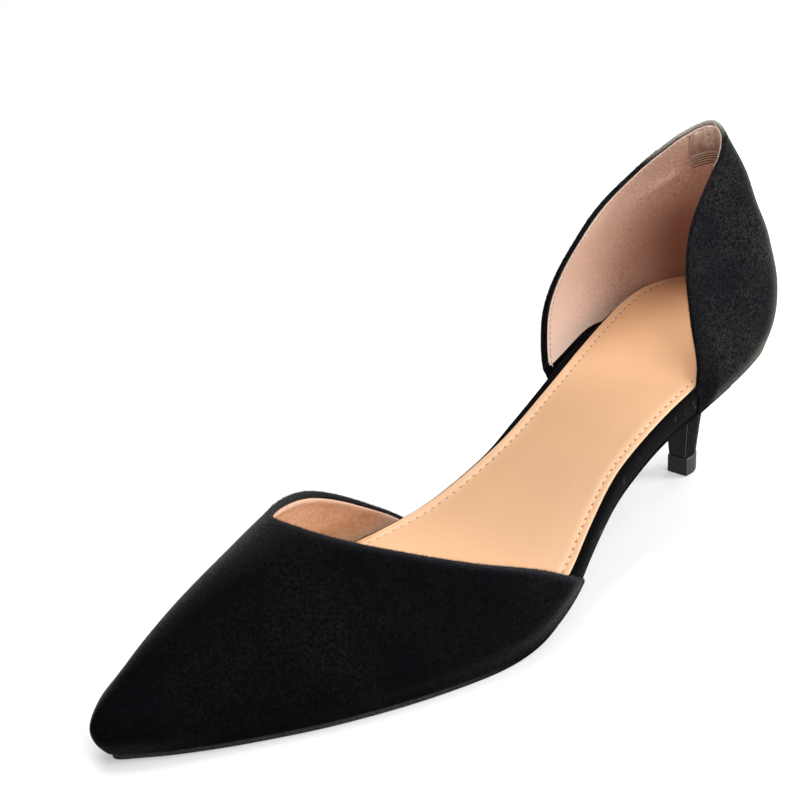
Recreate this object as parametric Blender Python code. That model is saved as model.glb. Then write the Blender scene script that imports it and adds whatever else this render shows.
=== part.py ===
# Left shoe of a two-piece pump: pointed vamp, separate heel quarter, open waist and a slim heel.
# Sizes are in millimetres along the last: x from the back of the heel seat to the toe,
# y to the wearer's left, z up from the floor. Meshes are made in metres.
import math

import bmesh
import bpy
import numpy as np

MM = 0.001

# Driving sizes
SHOE_LENGTH = 252.5         # heel seat to sole tip, along the floor
SEAM_GAP = 0.3              # clear space between pieces that meet
SOCK_THICKNESS = 1.0
OUTSOLE_THICKNESS = 2.35
VAMP_WALL = 1.8
QUARTER_WALL = 2.0
UPPER_OVERHANG = 0.6        # upper stands this far outside the insole edge at the feather line

# The last, one row for each section. left and right are the edges of the wrapped insole,
# sock_top is the surface under the foot, feather is where the upper meets sole and heel.
LAST_COLUMNS = ("x", "left", "right", "sock_top", "feather")
LAST = (
    (0.0, 1.0, 1.0, 61.0, 47.5),
    (6.0, 14.6, -12.8, 60.8, 47.5),
    (14.0, 20.6, -18.8, 60.2, 47.2),
    (24.0, 24.2, -22.6, 58.6, 46.0),
    (38.0, 26.0, -24.4, 54.4, 43.2),
    (56.0, 26.4, -24.0, 48.6, 39.9),
    (76.0, 25.4, -21.6, 41.8, 35.3),
    (96.0, 25.8, -20.0, 34.2, 27.7),
    (116.0, 29.6, -23.8, 24.3, 17.8),
    (132.0, 33.6, -31.2, 15.8, 9.3),
    (146.0, 34.6, -38.4, 10.8, 4.4),
    (161.0, 32.6, -42.5, 8.9, 2.5),
    (178.0, 28.0, -42.2, 8.9, 2.5),
    (206.0, 16.4, -35.8, 8.9, 2.5),
    (224.0, 6.0, -31.4, 8.9, 2.5),
    (240.0, -5.0, -25.8, 9.1, 2.6),
    (248.5, -12.1, -21.0, 9.3, 2.8),
    (252.5, -16.8, -16.8, 9.5, 3.0),
)

# Vamp: the crest line over the instep and toe. Rows behind the throat lie on the open part
# of the last and only shape the sides.
VAMP_COLUMNS = ("x", "crest_y", "crest_z")
VAMP = (
    (118.0, -6.0, 70.0),
    (140.0, -11.0, 60.5),
    (160.0, -14.5, 51.2),
    (178.0, -16.5, 42.8),
    (192.0, -17.5, 38.3),
    (209.0, -18.3, 33.5),
    (226.0, -18.5, 27.6),
    (241.0, -18.0, 21.0),
    (249.0, -17.3, 16.4),
    (252.5, -16.8, 12.0),
)
# Where the vamp ends: distance x at each angle round the foot, 0 at the left edge, 180 at the right
TOPLINE_COLUMNS = ("angle", "x")
TOPLINE = (
    (0.0, 126.0),
    (12.0, 136.0),
    (22.0, 146.4),
    (36.0, 163.1),
    (50.0, 174.6),
    (65.0, 183.8),
    (80.0, 189.3),
    (95.0, 189.7),
    (108.0, 187.2),
    (122.0, 181.1),
    (135.0, 172.0),
    (148.0, 161.0),
    (160.0, 149.5),
    (170.0, 139.5),
    (180.0, 129.0),
)
VAMP_ROOT = 118.0           # behind this the upper is open
VAMP_FULLNESS_LEFT = 1.95   # exponents of the vamp's rounded sections
VAMP_FULLNESS_RIGHT = 2.5
VAMP_BULGE = 1.8            # how far the side swells out over the sole edge
VAMP_BULGE_HEIGHT = 16.0    # height of that swelling above the feather line
VAMP_SLIM_HALF = 6.0        # where the toe is narrower than this the swelling fades out
VAMP_TIP_REACH = 4.0        # toe stands this far in front of the sole
VAMP_TIP_START = 225.0      # and begins to do so here
VAMP_TIP_HEIGHT = 8.0       # height of its foremost point above the feather line
VAMP_TIP_TUCK = 0.9         # share of that reach lost at the feather line
VAMP_TIP_SLOPE = 0.5        # how quickly it is lost towards the crest
VAMP_TIP_LEAST = 0.4        # share of it kept at the crest

# Quarter: how far the wall stands out from its base at each height above the feather line, at the
# centre of the back, at the back corners and along the sides. lean moves the sides to the left.
COUNTER_COLUMNS = ("height", "back", "corner", "side", "lean")
COUNTER = (
    (0.0, 0.6, 0.6, 0.6, 0.0),
    (7.0, 3.0, 2.9, 3.6, -0.9),
    (13.0, 2.2, 3.4, 2.6, -2.9),
    (20.0, -0.2, 3.0, 2.1, -4.0),
    (28.0, -2.4, 1.2, 0.2, -4.8),
    (36.0, -4.2, -0.9, -2.6, -4.9),
    (43.0, -6.4, -4.0, -5.5, -4.5),
    (54.0, -10.9, -7.8, -9.3, -3.6),
    (62.0, -14.6, -12.2, -13.5, -2.5),
    (72.0, -17.6, -18.0, -17.3, -1.0),
)
CORNER_SHARE = 0.42         # where the back corners and the sides lie, as shares from back to front end
SIDE_SHARE = 0.88
BACK_FAN = 0.68             # how quickly the wall's direction turns at the back, against the outline's own
# Height of the quarter's edge above the feather line, from the centre of the back to its front end
COLLAR_COLUMNS = ("share", "height")
COLLAR = (
    (0.0, 68.0),
    (0.2, 67.6),
    (0.35, 66.9),
    (0.48, 64.9),
    (0.6, 61.9),
    (0.72, 58.2),
    (0.81, 53.9),
    (0.87, 49.2),
    (0.91, 44.0),
    (0.945, 36.5),
    (0.97, 26.5),
    (0.985, 16.5),
    (1.0, 5.0),
)
QUARTER_FRONT_LEFT = 61.0   # x where the quarter ends on each side
QUARTER_FRONT_RIGHT = 68.0

# Heel, one row for each level. seat is the share of the seat's own slope that the level follows.
HEEL_COLUMNS = ("z", "front", "back", "centre", "breast_half", "body_half", "seat")
HEEL = (
    (6.7, 30.5, 21.6, -0.1, 3.4, 3.8, 0.0),
    (14.0, 30.9, 20.4, -0.2, 4.0, 4.6, 0.0),
    (21.0, 31.3, 19.5, -0.2, 4.6, 5.6, 0.0),
    (27.0, 32.1, 18.3, 0.0, 5.6, 7.4, 0.0),
    (32.0, 33.8, 15.0, 0.4, 7.6, 10.2, 0.1),
    (37.0, 36.0, 10.2, 0.9, 11.5, 14.6, 0.35),
    (42.0, 38.4, 5.2, 1.3, 17.5, 20.2, 0.7),
    (47.2, 40.0, 0.6, 1.7, 24.6, 25.2, 1.0),
)
HEEL_SEAT_LENGTH = 40.0
SEAT_CENTRE_Y = 1.7
BREAST_EASE = 0.45          # share of a section's depth where it begins to narrow to the breast
TOP_PIECE_HEIGHT = 6.4
TOP_PIECE_EDGE = 0.3        # the tip stands this far outside the stem

# Edges of the flat pieces, inside the insole edge; the sock lies closest to it at the back of the heel,
# and stands back most where the quarter leans away from it on the right
SOCK_EDGE_COLUMNS = ("x", "left", "right")
SOCK_EDGE = (
    (0.0, 1.0, 1.0),
    (16.0, 1.0, 1.0),
    (28.0, 1.2, 1.5),
    (44.0, 1.5, 2.6),
    (62.0, 1.7, 3.4),
    (76.0, 2.0, 3.0),
    (100.0, 2.3, 2.6),
    (126.0, 2.3, 2.3),
    (142.0, 2.0, 2.0),
    (SHOE_LENGTH, 2.0, 2.0),
)
INSOLE_INSET_COVERED = 1.8
COVER_CLEAR = 0.8           # an inner piece is narrow until this far past the upper's end
COVER_EASE = 3.0            # and then widens over this length
OUTSOLE_INSET_FORE = 0.7
OUTSOLE_INSET_WAIST = 1.2
OUTSOLE_WAIST_END = 120.0
OUTSOLE_FORE_START = 150.0
TOE_PULL = 8.0              # insole and sock stop this far behind the sole tip
SOCK_ROUNDING = 0.3
INSOLE_ROUNDING = 1.2
OUTSOLE_ROUNDING = 0.5
EDGE_CHAMFER = 0.3          # place of the middle corner on a rounded edge
RIM_ROUNDING = 0.4          # how far a free edge stands past its walls, in wall thicknesses

# Fineness of the meshes
VAMP_GRID = (38, 20)        # steps round the foot and along it
QUARTER_GRID = (50, 10)     # steps round the heel and up it
HEEL_GRID = (30, 16)        # steps round the heel and up it
TIP_STEPS = 16
PLATE_STATIONS = 48
SHARP_ANGLE = 40.0          # degrees between faces that meet in a crisp edge
TINY = 1e-6
OUTLINE_STEP = 0.004        # steps for finding the direction of a curve
SHARE_STEP = 0.01


def column(table, columns, name):
    place = columns.index(name)
    return np.array([row[place] for row in table], dtype=float)


def smooth_through(xs, ys):
    # Smooth curve through the rows that never overshoots them
    step = np.diff(xs)
    slope = np.diff(ys) / step
    tangent = np.zeros_like(ys)
    tangent[0] = slope[0]
    tangent[-1] = slope[-1]
    for i in range(1, len(xs) - 1):
        if slope[i - 1] * slope[i] > 0.0:
            a = 2.0 * step[i] + step[i - 1]
            b = step[i] + 2.0 * step[i - 1]
            tangent[i] = (a + b) / (a / slope[i - 1] + b / slope[i])

    def value(x):
        x = np.clip(x, xs[0], xs[-1])
        i = np.clip(np.searchsorted(xs, x) - 1, 0, len(step) - 1)
        h = step[i]
        t = (x - xs[i]) / h
        blend = t * t * (3.0 - 2.0 * t)
        bend = t * (1.0 - t)
        pull = bend * ((1.0 - t) * tangent[i] - t * tangent[i + 1]) * h
        return ys[i] * (1.0 - blend) + ys[i + 1] * blend + pull

    return value


def turn_at(x):
    # Angle along the outline: 0 at the heel, pi at the toe, so that both ends are round
    share = np.clip(np.asarray(x, dtype=float) / SHOE_LENGTH, 0.0, 1.0)
    return np.arccos(1.0 - 2.0 * share)


last_x = column(LAST, LAST_COLUMNS, "x")
left_edge = smooth_through(turn_at(last_x), column(LAST, LAST_COLUMNS, "left"))
right_edge = smooth_through(turn_at(last_x), column(LAST, LAST_COLUMNS, "right"))
sock_top = smooth_through(last_x, column(LAST, LAST_COLUMNS, "sock_top"))
feather = smooth_through(last_x, column(LAST, LAST_COLUMNS, "feather"))
crest_x = column(VAMP, VAMP_COLUMNS, "x")
crest_y = smooth_through(crest_x, column(VAMP, VAMP_COLUMNS, "crest_y"))
crest_z = smooth_through(crest_x, column(VAMP, VAMP_COLUMNS, "crest_z"))
topline_x = smooth_through(column(TOPLINE, TOPLINE_COLUMNS, "angle"), column(TOPLINE, TOPLINE_COLUMNS, "x"))
counter_height = column(COUNTER, COUNTER_COLUMNS, "height")
back_out = smooth_through(counter_height, column(COUNTER, COUNTER_COLUMNS, "back"))
corner_out = smooth_through(counter_height, column(COUNTER, COUNTER_COLUMNS, "corner"))
side_out = smooth_through(counter_height, column(COUNTER, COUNTER_COLUMNS, "side"))
counter_lean = smooth_through(counter_height, column(COUNTER, COUNTER_COLUMNS, "lean"))
collar_share = column(COLLAR, COLLAR_COLUMNS, "share")
collar_height = smooth_through(collar_share, column(COLLAR, COLLAR_COLUMNS, "height"))
sock_edge_x = column(SOCK_EDGE, SOCK_EDGE_COLUMNS, "x")
sock_inset_left = smooth_through(sock_edge_x, column(SOCK_EDGE, SOCK_EDGE_COLUMNS, "left"))
sock_inset_right = smooth_through(sock_edge_x, column(SOCK_EDGE, SOCK_EDGE_COLUMNS, "right"))


def soft_step(x, start, end):
    t = np.clip((x - start) / (end - start), 0.0, 1.0)
    return t * t * (3.0 - 2.0 * t)


def clear_scene():
    for thing in list(bpy.data.objects):
        bpy.data.objects.remove(thing, do_unlink=True)


def finish_material(name, colour, roughness):
    material = bpy.data.materials.new(name)
    material.use_nodes = True
    shader = material.node_tree.nodes["Principled BSDF"]
    shader.inputs["Base Color"].default_value = (*colour, 1.0)
    shader.inputs["Roughness"].default_value = roughness
    shader.inputs["Metallic"].default_value = 0.0
    return material


def grid_faces(bm, grid, flip=False):
    # grid is a list of rows of mesh corners
    for low, high in zip(grid[:-1], grid[1:]):
        for i in range(len(low) - 1):
            ring = [low[i], low[i + 1], high[i + 1], high[i]]
            if flip:
                ring.reverse()
            bm.faces.new(ring)


def add_points(bm, points):
    return [[bm.verts.new(tuple(p * MM for p in point)) for point in row] for row in points]


def closed_loops(bm, points):
    # Rows of mesh corners that each come back to their first one
    loops = add_points(bm, points)
    for ring in loops:
        ring.append(ring[0])
    return loops


def lofted_solid(name, rows, material):
    # Solid between closed rows, with a flat face on the first and the last
    bm = bmesh.new()
    loops = closed_loops(bm, rows)
    grid_faces(bm, loops)
    bm.faces.new(loops[0][:-1])
    bm.faces.new(loops[-1][:-1])
    return make_object(name, bm, material)


def make_object(name, bm, material):
    bmesh.ops.remove_doubles(bm, verts=bm.verts, dist=TINY)
    bmesh.ops.recalc_face_normals(bm, faces=bm.faces)
    mesh = bpy.data.meshes.new(name)
    bm.to_mesh(mesh)
    bm.free()
    mesh.materials.append(material)
    mesh.shade_smooth()
    mesh.set_sharp_from_angle(angle=math.radians(SHARP_ANGLE))
    thing = bpy.data.objects.new(name, mesh)
    bpy.context.scene.collection.objects.link(thing)
    return thing


def shell(name, outer, inner, wall, has_base, material):
    # Closed wall between two grids. Row 0 of each is the free edge, joined over a rounded rim.
    # has_base says that the last rows are an open base, to be closed too.
    bm = bmesh.new()
    out = add_points(bm, outer)
    ins = add_points(bm, inner)
    edge = add_points(bm, [rounded_rim(outer, inner, wall)])[0]
    grid_faces(bm, out)
    grid_faces(bm, ins, flip=True)
    grid_faces(bm, [edge, out[0]])
    grid_faces(bm, [ins[0], edge])
    for end in (0, -1):
        for low in range(len(out) - 1):
            bm.faces.new((out[low][end], out[low + 1][end], ins[low + 1][end], ins[low][end]))
        bm.faces.new((edge[end], out[0][end], ins[0][end]))
    if has_base:
        grid_faces(bm, [out[-1], ins[-1]])
    return make_object(name, bm, material)


def rounded_rim(outer, inner, wall):
    # Middle of the free edge, pushed out past both walls
    rim = []
    for a, b, c in zip(outer[0], inner[0], outer[1]):
        away = np.subtract(a, c)
        away = away / max(np.linalg.norm(away), TINY)
        middle = (np.array(a) + np.array(b)) / 2.0
        rim.append((middle + away * wall * RIM_ROUNDING).tolist())
    return rim


def vamp_point(angle, x, inset):
    # Point of the vamp at an angle round the foot and a distance along it, inset into the wall
    turn = math.radians(angle)
    is_left = angle < 90.0
    reach_x = SHOE_LENGTH + UPPER_OVERHANG - inset
    along = VAMP_ROOT + (x - VAMP_ROOT) * (SHOE_LENGTH - VAMP_ROOT) / (reach_x - VAMP_ROOT)
    edge = (left_edge if is_left else right_edge)(turn_at(along))
    ridge = crest_y(along)
    half = abs(edge - ridge)
    slim = min(1.0, half / VAMP_SLIM_HALF)
    reach = half + (UPPER_OVERHANG - inset) * slim
    base = feather(x) + SEAM_GAP / 2.0
    rise = crest_z(along) - inset - base
    power = 2.0 / (VAMP_FULLNESS_LEFT if is_left else VAMP_FULLNESS_RIGHT)
    height = rise * math.sin(turn) ** power
    swell = math.sin(math.pi * min(1.0, height / VAMP_BULGE_HEIGHT)) ** 2
    out = reach * abs(math.cos(turn)) ** power + VAMP_BULGE * swell * slim
    off = (height / VAMP_TIP_HEIGHT - 1.0) ** 2
    above = max(1.0 - VAMP_TIP_SLOPE * off, VAMP_TIP_LEAST)
    kept = 1.0 - VAMP_TIP_TUCK * off if height < VAMP_TIP_HEIGHT else above
    tip = VAMP_TIP_REACH * kept * soft_step(x, VAMP_TIP_START, SHOE_LENGTH)
    return (x + tip, ridge + (out if is_left else -out), base + height)


def vamp_rows(inset):
    across, along = VAMP_GRID
    rows = []
    for j in range(along + 1):
        row = []
        for i in range(across + 1):
            angle = 180.0 * i / across
            start = topline_x(angle)
            end = SHOE_LENGTH + UPPER_OVERHANG - inset
            x = start + (end - start) * math.sin(0.5 * math.pi * j / along)
            row.append([float(v) for v in vamp_point(angle, x, inset)])
        rows.append(row)
    # The two sides meet in one line at the toe
    toe = np.array(rows[-1])
    rows[-1] = ((toe + toe[::-1]) / 2.0).tolist()
    return rows


def make_vamp():
    outer = vamp_rows(0.0)
    inner = vamp_rows(VAMP_WALL)
    return shell("vamp", outer, inner, VAMP_WALL, False, suede)


def outline_point(turn, side):
    x = SHOE_LENGTH * (1.0 - math.cos(turn)) / 2.0
    y = float((left_edge if side > 0.0 else right_edge)(turn))
    return np.array((x, y))


def edge_point(turn, side, inset):
    # Point of the outline moved inwards, square to the edge
    small = OUTLINE_STEP
    ahead = outline_point(min(turn + small, math.pi), side)
    behind = outline_point(max(turn - small, 0.0), side)
    tangent = (ahead - behind) / np.linalg.norm(ahead - behind)
    inward = np.array((tangent[1], -tangent[0])) * side
    if turn < small or turn > math.pi - small:
        inward = np.array((math.copysign(1.0, math.cos(turn)), 0.0))
    return outline_point(turn, side) + inward * inset


def quarter_base(share):
    # share runs from 1 at the left front end, through 0 at the back, to -1 at the right front end
    side = 1.0 if share >= 0.0 else -1.0
    front = QUARTER_FRONT_LEFT if side > 0.0 else QUARTER_FRONT_RIGHT
    turn = abs(share) * float(turn_at(front))
    return outline_point(turn, side)


def quarter_outward(share):
    # Direction in which the wall moves out. It turns slowly at the back, so that the narrow top stays open.
    turned = share * (BACK_FAN + (1.0 - BACK_FAN) * soft_step(abs(share), 0.0, CORNER_SHARE))
    before = quarter_base(turned - SHARE_STEP)
    after = quarter_base(turned + SHARE_STEP)
    tangent = after - before
    normal = np.array((-tangent[1], tangent[0]))
    return normal / np.linalg.norm(normal)


def quarter_point(share, height, inset):
    base = quarter_base(share)
    to_corner = soft_step(abs(share), 0.0, CORNER_SHARE)
    to_side = soft_step(abs(share), CORNER_SHARE, SIDE_SHARE)
    out = back_out(height) * (1.0 - to_corner)
    out += corner_out(height) * (to_corner - to_side)
    out += side_out(height) * to_side
    place = base + quarter_outward(share) * (out - inset)
    place[1] += counter_lean(height) * to_side
    return [float(place[0]), float(place[1]), float(feather(base[0]) + SEAM_GAP / 2.0 + height)]


def quarter_rows(inset):
    across, up = QUARTER_GRID
    rows = []
    for j in range(up + 1):
        row = []
        for i in range(across + 1):
            spread = 2.0 * i / across - 1.0
            share = -math.copysign(math.sin(abs(spread) * 0.5 * math.pi), spread)
            top = float(collar_height(abs(share)))
            row.append(quarter_point(share, top * (1.0 - j / up), inset))
        rows.append(row)
    return rows


def make_quarter():
    outer = quarter_rows(0.0)
    inner = quarter_rows(QUARTER_WALL)
    return shell("quarter", outer, inner, QUARTER_WALL, True, suede)


def plate(name, start, end, inset_at, top_at, bottom_at, roundness, material):
    # Flat piece that follows the last between two distances, with rounded long edges
    bm = bmesh.new()
    first = float(turn_at(start))
    final = float(turn_at(end))
    rows = []
    for k in range(PLATE_STATIONS + 1):
        turn = first + (final - first) * k / PLATE_STATIONS
        rows.append(plate_ring(turn, inset_at, top_at, bottom_at, roundness))
    loops = closed_loops(bm, rows)
    grid_faces(bm, loops)
    if start > 0.0:
        bm.faces.new(loops[0][:-1])
    if end < SHOE_LENGTH:
        bm.faces.new(loops[-1][:-1])
    return make_object(name, bm, material)


def plate_ring(turn, inset_at, top_at, bottom_at, roundness):
    # One section: along the top edge to the left, down it, and back along the bottom to the right
    edge = ((1.0, 0.0), (EDGE_CHAMFER, EDGE_CHAMFER), (0.0, 1.0))
    x = SHOE_LENGTH * (1.0 - math.cos(turn)) / 2.0
    ring = []
    for side, is_top in ((1.0, True), (1.0, False), (-1.0, False), (-1.0, True)):
        to_edge = is_top == (side > 0.0)
        for inwards, drop in (edge if to_edge else edge[::-1]):
            spot = edge_point(turn, side, inset_at(x, side) + roundness * inwards)
            if is_top:
                level = top_at(spot[0]) - roundness * drop
            else:
                level = bottom_at(spot[0]) + roundness * drop
            ring.append((float(spot[0]), float(spot[1]), float(level)))
    return ring


def covered(x, side, inset, open_inset):
    # Inset of an inner piece: wider where the upper covers it, narrower along the open waist
    quarter_end = QUARTER_FRONT_LEFT if side > 0.0 else QUARTER_FRONT_RIGHT
    vamp_end = float(topline_x(0.0 if side > 0.0 else 180.0))
    under_quarter = 1.0 - soft_step(x, quarter_end + COVER_CLEAR, quarter_end + COVER_CLEAR + COVER_EASE)
    under_vamp = soft_step(x, vamp_end - COVER_CLEAR - COVER_EASE, vamp_end - COVER_CLEAR)
    return open_inset + (inset - open_inset) * max(under_quarter, under_vamp)


def make_sock():
    def inset_at(x, side):
        return float((sock_inset_left if side > 0.0 else sock_inset_right)(x))

    def bottom_at(x):
        return sock_top(x) - SOCK_THICKNESS

    end = SHOE_LENGTH - TOE_PULL
    return plate("sock", 0.0, end, inset_at, sock_top, bottom_at, SOCK_ROUNDING, tan_leather)


def make_insole():
    def inset_at(x, side):
        return covered(x, side, INSOLE_INSET_COVERED, 0.0)

    def top_at(x):
        return sock_top(x) - SOCK_THICKNESS - SEAM_GAP

    def bottom_at(x):
        return feather(x) + SEAM_GAP / 2.0

    end = SHOE_LENGTH - TOE_PULL
    return plate("insole", 0.0, end, inset_at, top_at, bottom_at, INSOLE_ROUNDING, suede)


def make_outsole():
    def inset_at(x, side):
        waist = 1.0 - soft_step(x, OUTSOLE_WAIST_END, OUTSOLE_FORE_START)
        return OUTSOLE_INSET_FORE + (OUTSOLE_INSET_WAIST - OUTSOLE_INSET_FORE) * waist

    def top_at(x):
        return feather(x) - SEAM_GAP / 2.0

    def bottom_at(x):
        return top_at(x) - OUTSOLE_THICKNESS

    start = HEEL_SEAT_LENGTH + SEAM_GAP
    return plate("outsole", start, SHOE_LENGTH, inset_at, top_at, bottom_at, OUTSOLE_ROUNDING, sole_finish)


def heel_ring(level, around):
    # Section of the heel: flat breast in front, the seat's own round outline behind
    z, front, back, centre, breast_half, body_half, seat = level
    ring = []
    end = float(turn_at(HEEL_SEAT_LENGTH))
    for k in range(around + 1):
        spread = 2.0 * k / around - 1.0
        side = 1.0 if spread < 0.0 else -1.0
        spot = outline_point(end * abs(spread), side)
        widest = abs(outline_point(end, side)[1] - SEAT_CENTRE_Y)
        share = spot[0] / HEEL_SEAT_LENGTH
        half = body_half + (breast_half - body_half) * soft_step(share, BREAST_EASE, 1.0)
        x = back + (front - back) * share
        y = centre + (spot[1] - SEAT_CENTRE_Y) / widest * half
        slope = float(feather(spot[0]) - feather(0.0))
        ring.append((x, y, z + slope * seat))
    return ring


def make_heel():
    around, up = HEEL_GRID
    levels = [column(HEEL, HEEL_COLUMNS, name) for name in HEEL_COLUMNS]
    curves = [smooth_through(levels[0], values) for values in levels[1:]]
    rows = []
    for k in range(up + 1):
        z = levels[0][0] + (levels[0][-1] - levels[0][0]) * k / up
        rows.append(heel_ring((z, *[float(curve(z)) for curve in curves]), around))
    return lofted_solid("heel", rows, suede)


def make_top_piece():
    foot = dict(zip(HEEL_COLUMNS, HEEL[0]))
    foot["front"] += TOP_PIECE_EDGE
    foot["back"] -= TOP_PIECE_EDGE
    foot["breast_half"] += TOP_PIECE_EDGE
    foot["body_half"] += TOP_PIECE_EDGE
    rows = []
    for z in (0.0, TOP_PIECE_HEIGHT):
        foot["z"] = z
        rows.append(heel_ring(tuple(foot.values()), TIP_STEPS))
    return lofted_solid("top_piece", rows, tip_plastic)


def stand_on_origin(pieces):
    # Moves the meshes so that the middle of the shoe's box is over the origin, with the sole on the floor
    corners = np.array([v.co[:] for piece in pieces for v in piece.data.vertices])
    low = corners.min(axis=0)
    high = corners.max(axis=0)
    middle = (low + high) / 2.0
    for piece in pieces:
        for v in piece.data.vertices:
            v.co.x -= middle[0]
            v.co.y -= middle[1]


clear_scene()
suede = finish_material("black_suede", (0.012, 0.012, 0.014), 0.9)
tan_leather = finish_material("tan_leather", (0.78, 0.48, 0.27), 0.45)
sole_finish = finish_material("black_sole", (0.015, 0.015, 0.016), 0.4)
tip_plastic = finish_material("black_tip", (0.02, 0.02, 0.022), 0.35)
shoe = [make_outsole(), make_insole(), make_sock(), make_vamp(), make_quarter(), make_heel()]
shoe.append(make_top_piece())
stand_on_origin(shoe)
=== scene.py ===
import math

import bmesh
import bpy
import numpy as np
from mathutils import Matrix, Vector


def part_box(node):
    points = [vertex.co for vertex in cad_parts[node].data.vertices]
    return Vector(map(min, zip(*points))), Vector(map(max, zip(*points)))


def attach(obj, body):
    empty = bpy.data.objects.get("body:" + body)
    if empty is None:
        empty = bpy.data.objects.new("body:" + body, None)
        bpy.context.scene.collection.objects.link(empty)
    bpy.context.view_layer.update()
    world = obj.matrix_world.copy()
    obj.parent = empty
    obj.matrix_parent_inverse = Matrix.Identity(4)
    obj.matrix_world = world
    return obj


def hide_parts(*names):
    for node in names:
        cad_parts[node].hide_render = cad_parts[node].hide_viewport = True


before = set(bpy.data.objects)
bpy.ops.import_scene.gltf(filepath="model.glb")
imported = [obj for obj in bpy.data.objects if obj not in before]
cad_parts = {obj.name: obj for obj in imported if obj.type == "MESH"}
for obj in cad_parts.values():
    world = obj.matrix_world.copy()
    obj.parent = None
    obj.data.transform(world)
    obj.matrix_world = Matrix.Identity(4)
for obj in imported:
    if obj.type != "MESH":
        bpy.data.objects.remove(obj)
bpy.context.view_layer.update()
mm = 0.001
print("frame loaded:", ", ".join(sorted(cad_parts)))

# The last that every piece is drawn on, in mm: x from the heel seat to the toe, y to the wearer's left.
# left and right are the edges of the wrapped insole, feather is where the upper meets sole and heel.
last = {
    "length": 252.5,
    "seamGap": 0.3,
    "columns": ("x", "left", "right", "sockTop", "feather"),
    "sections": (
        (0.0, 1.0, 1.0, 61.0, 47.5),
        (6.0, 14.6, -12.8, 60.8, 47.5),
        (14.0, 20.6, -18.8, 60.2, 47.2),
        (24.0, 24.2, -22.6, 58.6, 46.0),
        (38.0, 26.0, -24.4, 54.4, 43.2),
        (56.0, 26.4, -24.0, 48.6, 39.9),
        (76.0, 25.4, -21.6, 41.8, 35.3),
        (96.0, 25.8, -20.0, 34.2, 27.7),
        (116.0, 29.6, -23.8, 24.3, 17.8),
        (132.0, 33.6, -31.2, 15.8, 9.3),
        (146.0, 34.6, -38.4, 10.8, 4.4),
        (161.0, 32.6, -42.5, 8.9, 2.5),
        (178.0, 28.0, -42.2, 8.9, 2.5),
        (206.0, 16.4, -35.8, 8.9, 2.5),
        (224.0, 6.0, -31.4, 8.9, 2.5),
        (240.0, -5.0, -25.8, 9.1, 2.6),
        (248.5, -12.1, -21.0, 9.3, 2.8),
        (252.5, -16.8, -16.8, 9.5, 3.0),
    ),
    "softenAlong": 3.0,     # mm over which the kinks between sections are rounded off
    "softenTurn": 0.03,
    "tipFront": 30.8,       # where the heel tip ends, which ties this drawing to the frame
    "tipMiddle": -0.1,
}

tipLow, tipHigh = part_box("top_piece")
tipMiddle = (tipLow[1] + tipHigh[1]) / (2.0 * mm)
shift = np.array((tipHigh[0] / mm - last["tipFront"], tipMiddle - last["tipMiddle"], 0.0))


def unit(v):
    return v / np.maximum(np.linalg.norm(v, axis=-1, keepdims=True), 1e-9)


def smoothThrough(xs, ys):
    # curve through the rows that never overshoots them
    step = np.diff(xs)
    slope = np.diff(ys) / step
    tangent = np.zeros_like(ys)
    tangent[0], tangent[-1] = slope[0], slope[-1]
    for i in range(1, len(xs) - 1):
        if slope[i - 1] * slope[i] > 0.0:
            a = 2.0 * step[i] + step[i - 1]
            b = step[i] + 2.0 * step[i - 1]
            tangent[i] = (a + b) / (a / slope[i - 1] + b / slope[i])

    def value(x):
        x = np.clip(x, xs[0], xs[-1])
        i = np.clip(np.searchsorted(xs, x) - 1, 0, len(step) - 1)
        h = step[i]
        t = (x - xs[i]) / h
        blend = t * t * (3.0 - 2.0 * t)
        pull = t * (1.0 - t) * ((1.0 - t) * tangent[i] - t * tangent[i + 1]) * h
        return ys[i] * (1.0 - blend) + ys[i + 1] * blend + pull

    return value


def softened(curve, low, high, spread):
    # the same curve with its small kinks averaged out
    steps = 1600
    xs = np.linspace(low, high, steps + 1)
    ys = curve(xs)
    cell = (high - low) / steps
    reach = int(4.0 * spread / cell)
    kernel = np.exp(-0.5 * (np.arange(-reach, reach + 1) * cell / spread) ** 2)
    before = 2.0 * ys[0] - ys[reach:0:-1]
    after = 2.0 * ys[-1] - ys[-2:-reach - 2:-1]
    smooth = np.convolve(np.concatenate((before, ys, after)), kernel / kernel.sum(), "valid")
    return lambda x: np.interp(x, xs, smooth)


def fromTable(piece, key, name, spread, along=None):
    # curve of one column of a table over its first column
    column = piece["columns"].index(name)
    xs, ys = [np.array([row[k] for row in piece[key]], dtype=float) for k in (0, column)]
    if along:
        xs = along(xs)
    return softened(smoothThrough(xs, ys), xs[0], xs[-1], spread)


def turnAt(x):
    # angle along the outline, 0 at the heel and pi at the toe, so that both ends come out round
    return np.arccos(1.0 - 2.0 * np.clip(np.asarray(x, dtype=float) / last["length"], 0.0, 1.0))


def easeStep(x, start, end):
    t = np.clip((np.asarray(x, dtype=float) - start) / (end - start), 0.0, 1.0)
    return t * t * (3.0 - 2.0 * t)


leftEdge, rightEdge = [
    fromTable(last, "sections", name, last["softenTurn"], turnAt) for name in ("left", "right")]
sockTop, feather = [
    fromTable(last, "sections", name, last["softenAlong"]) for name in ("sockTop", "feather")]


def xAt(turn):
    return last["length"] * (1.0 - np.cos(turn)) / 2.0


def outlineAt(turn, side):
    turn = np.asarray(turn, dtype=float)
    return np.stack((xAt(turn), leftEdge(turn) if side > 0 else rightEdge(turn)), axis=-1)


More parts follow.
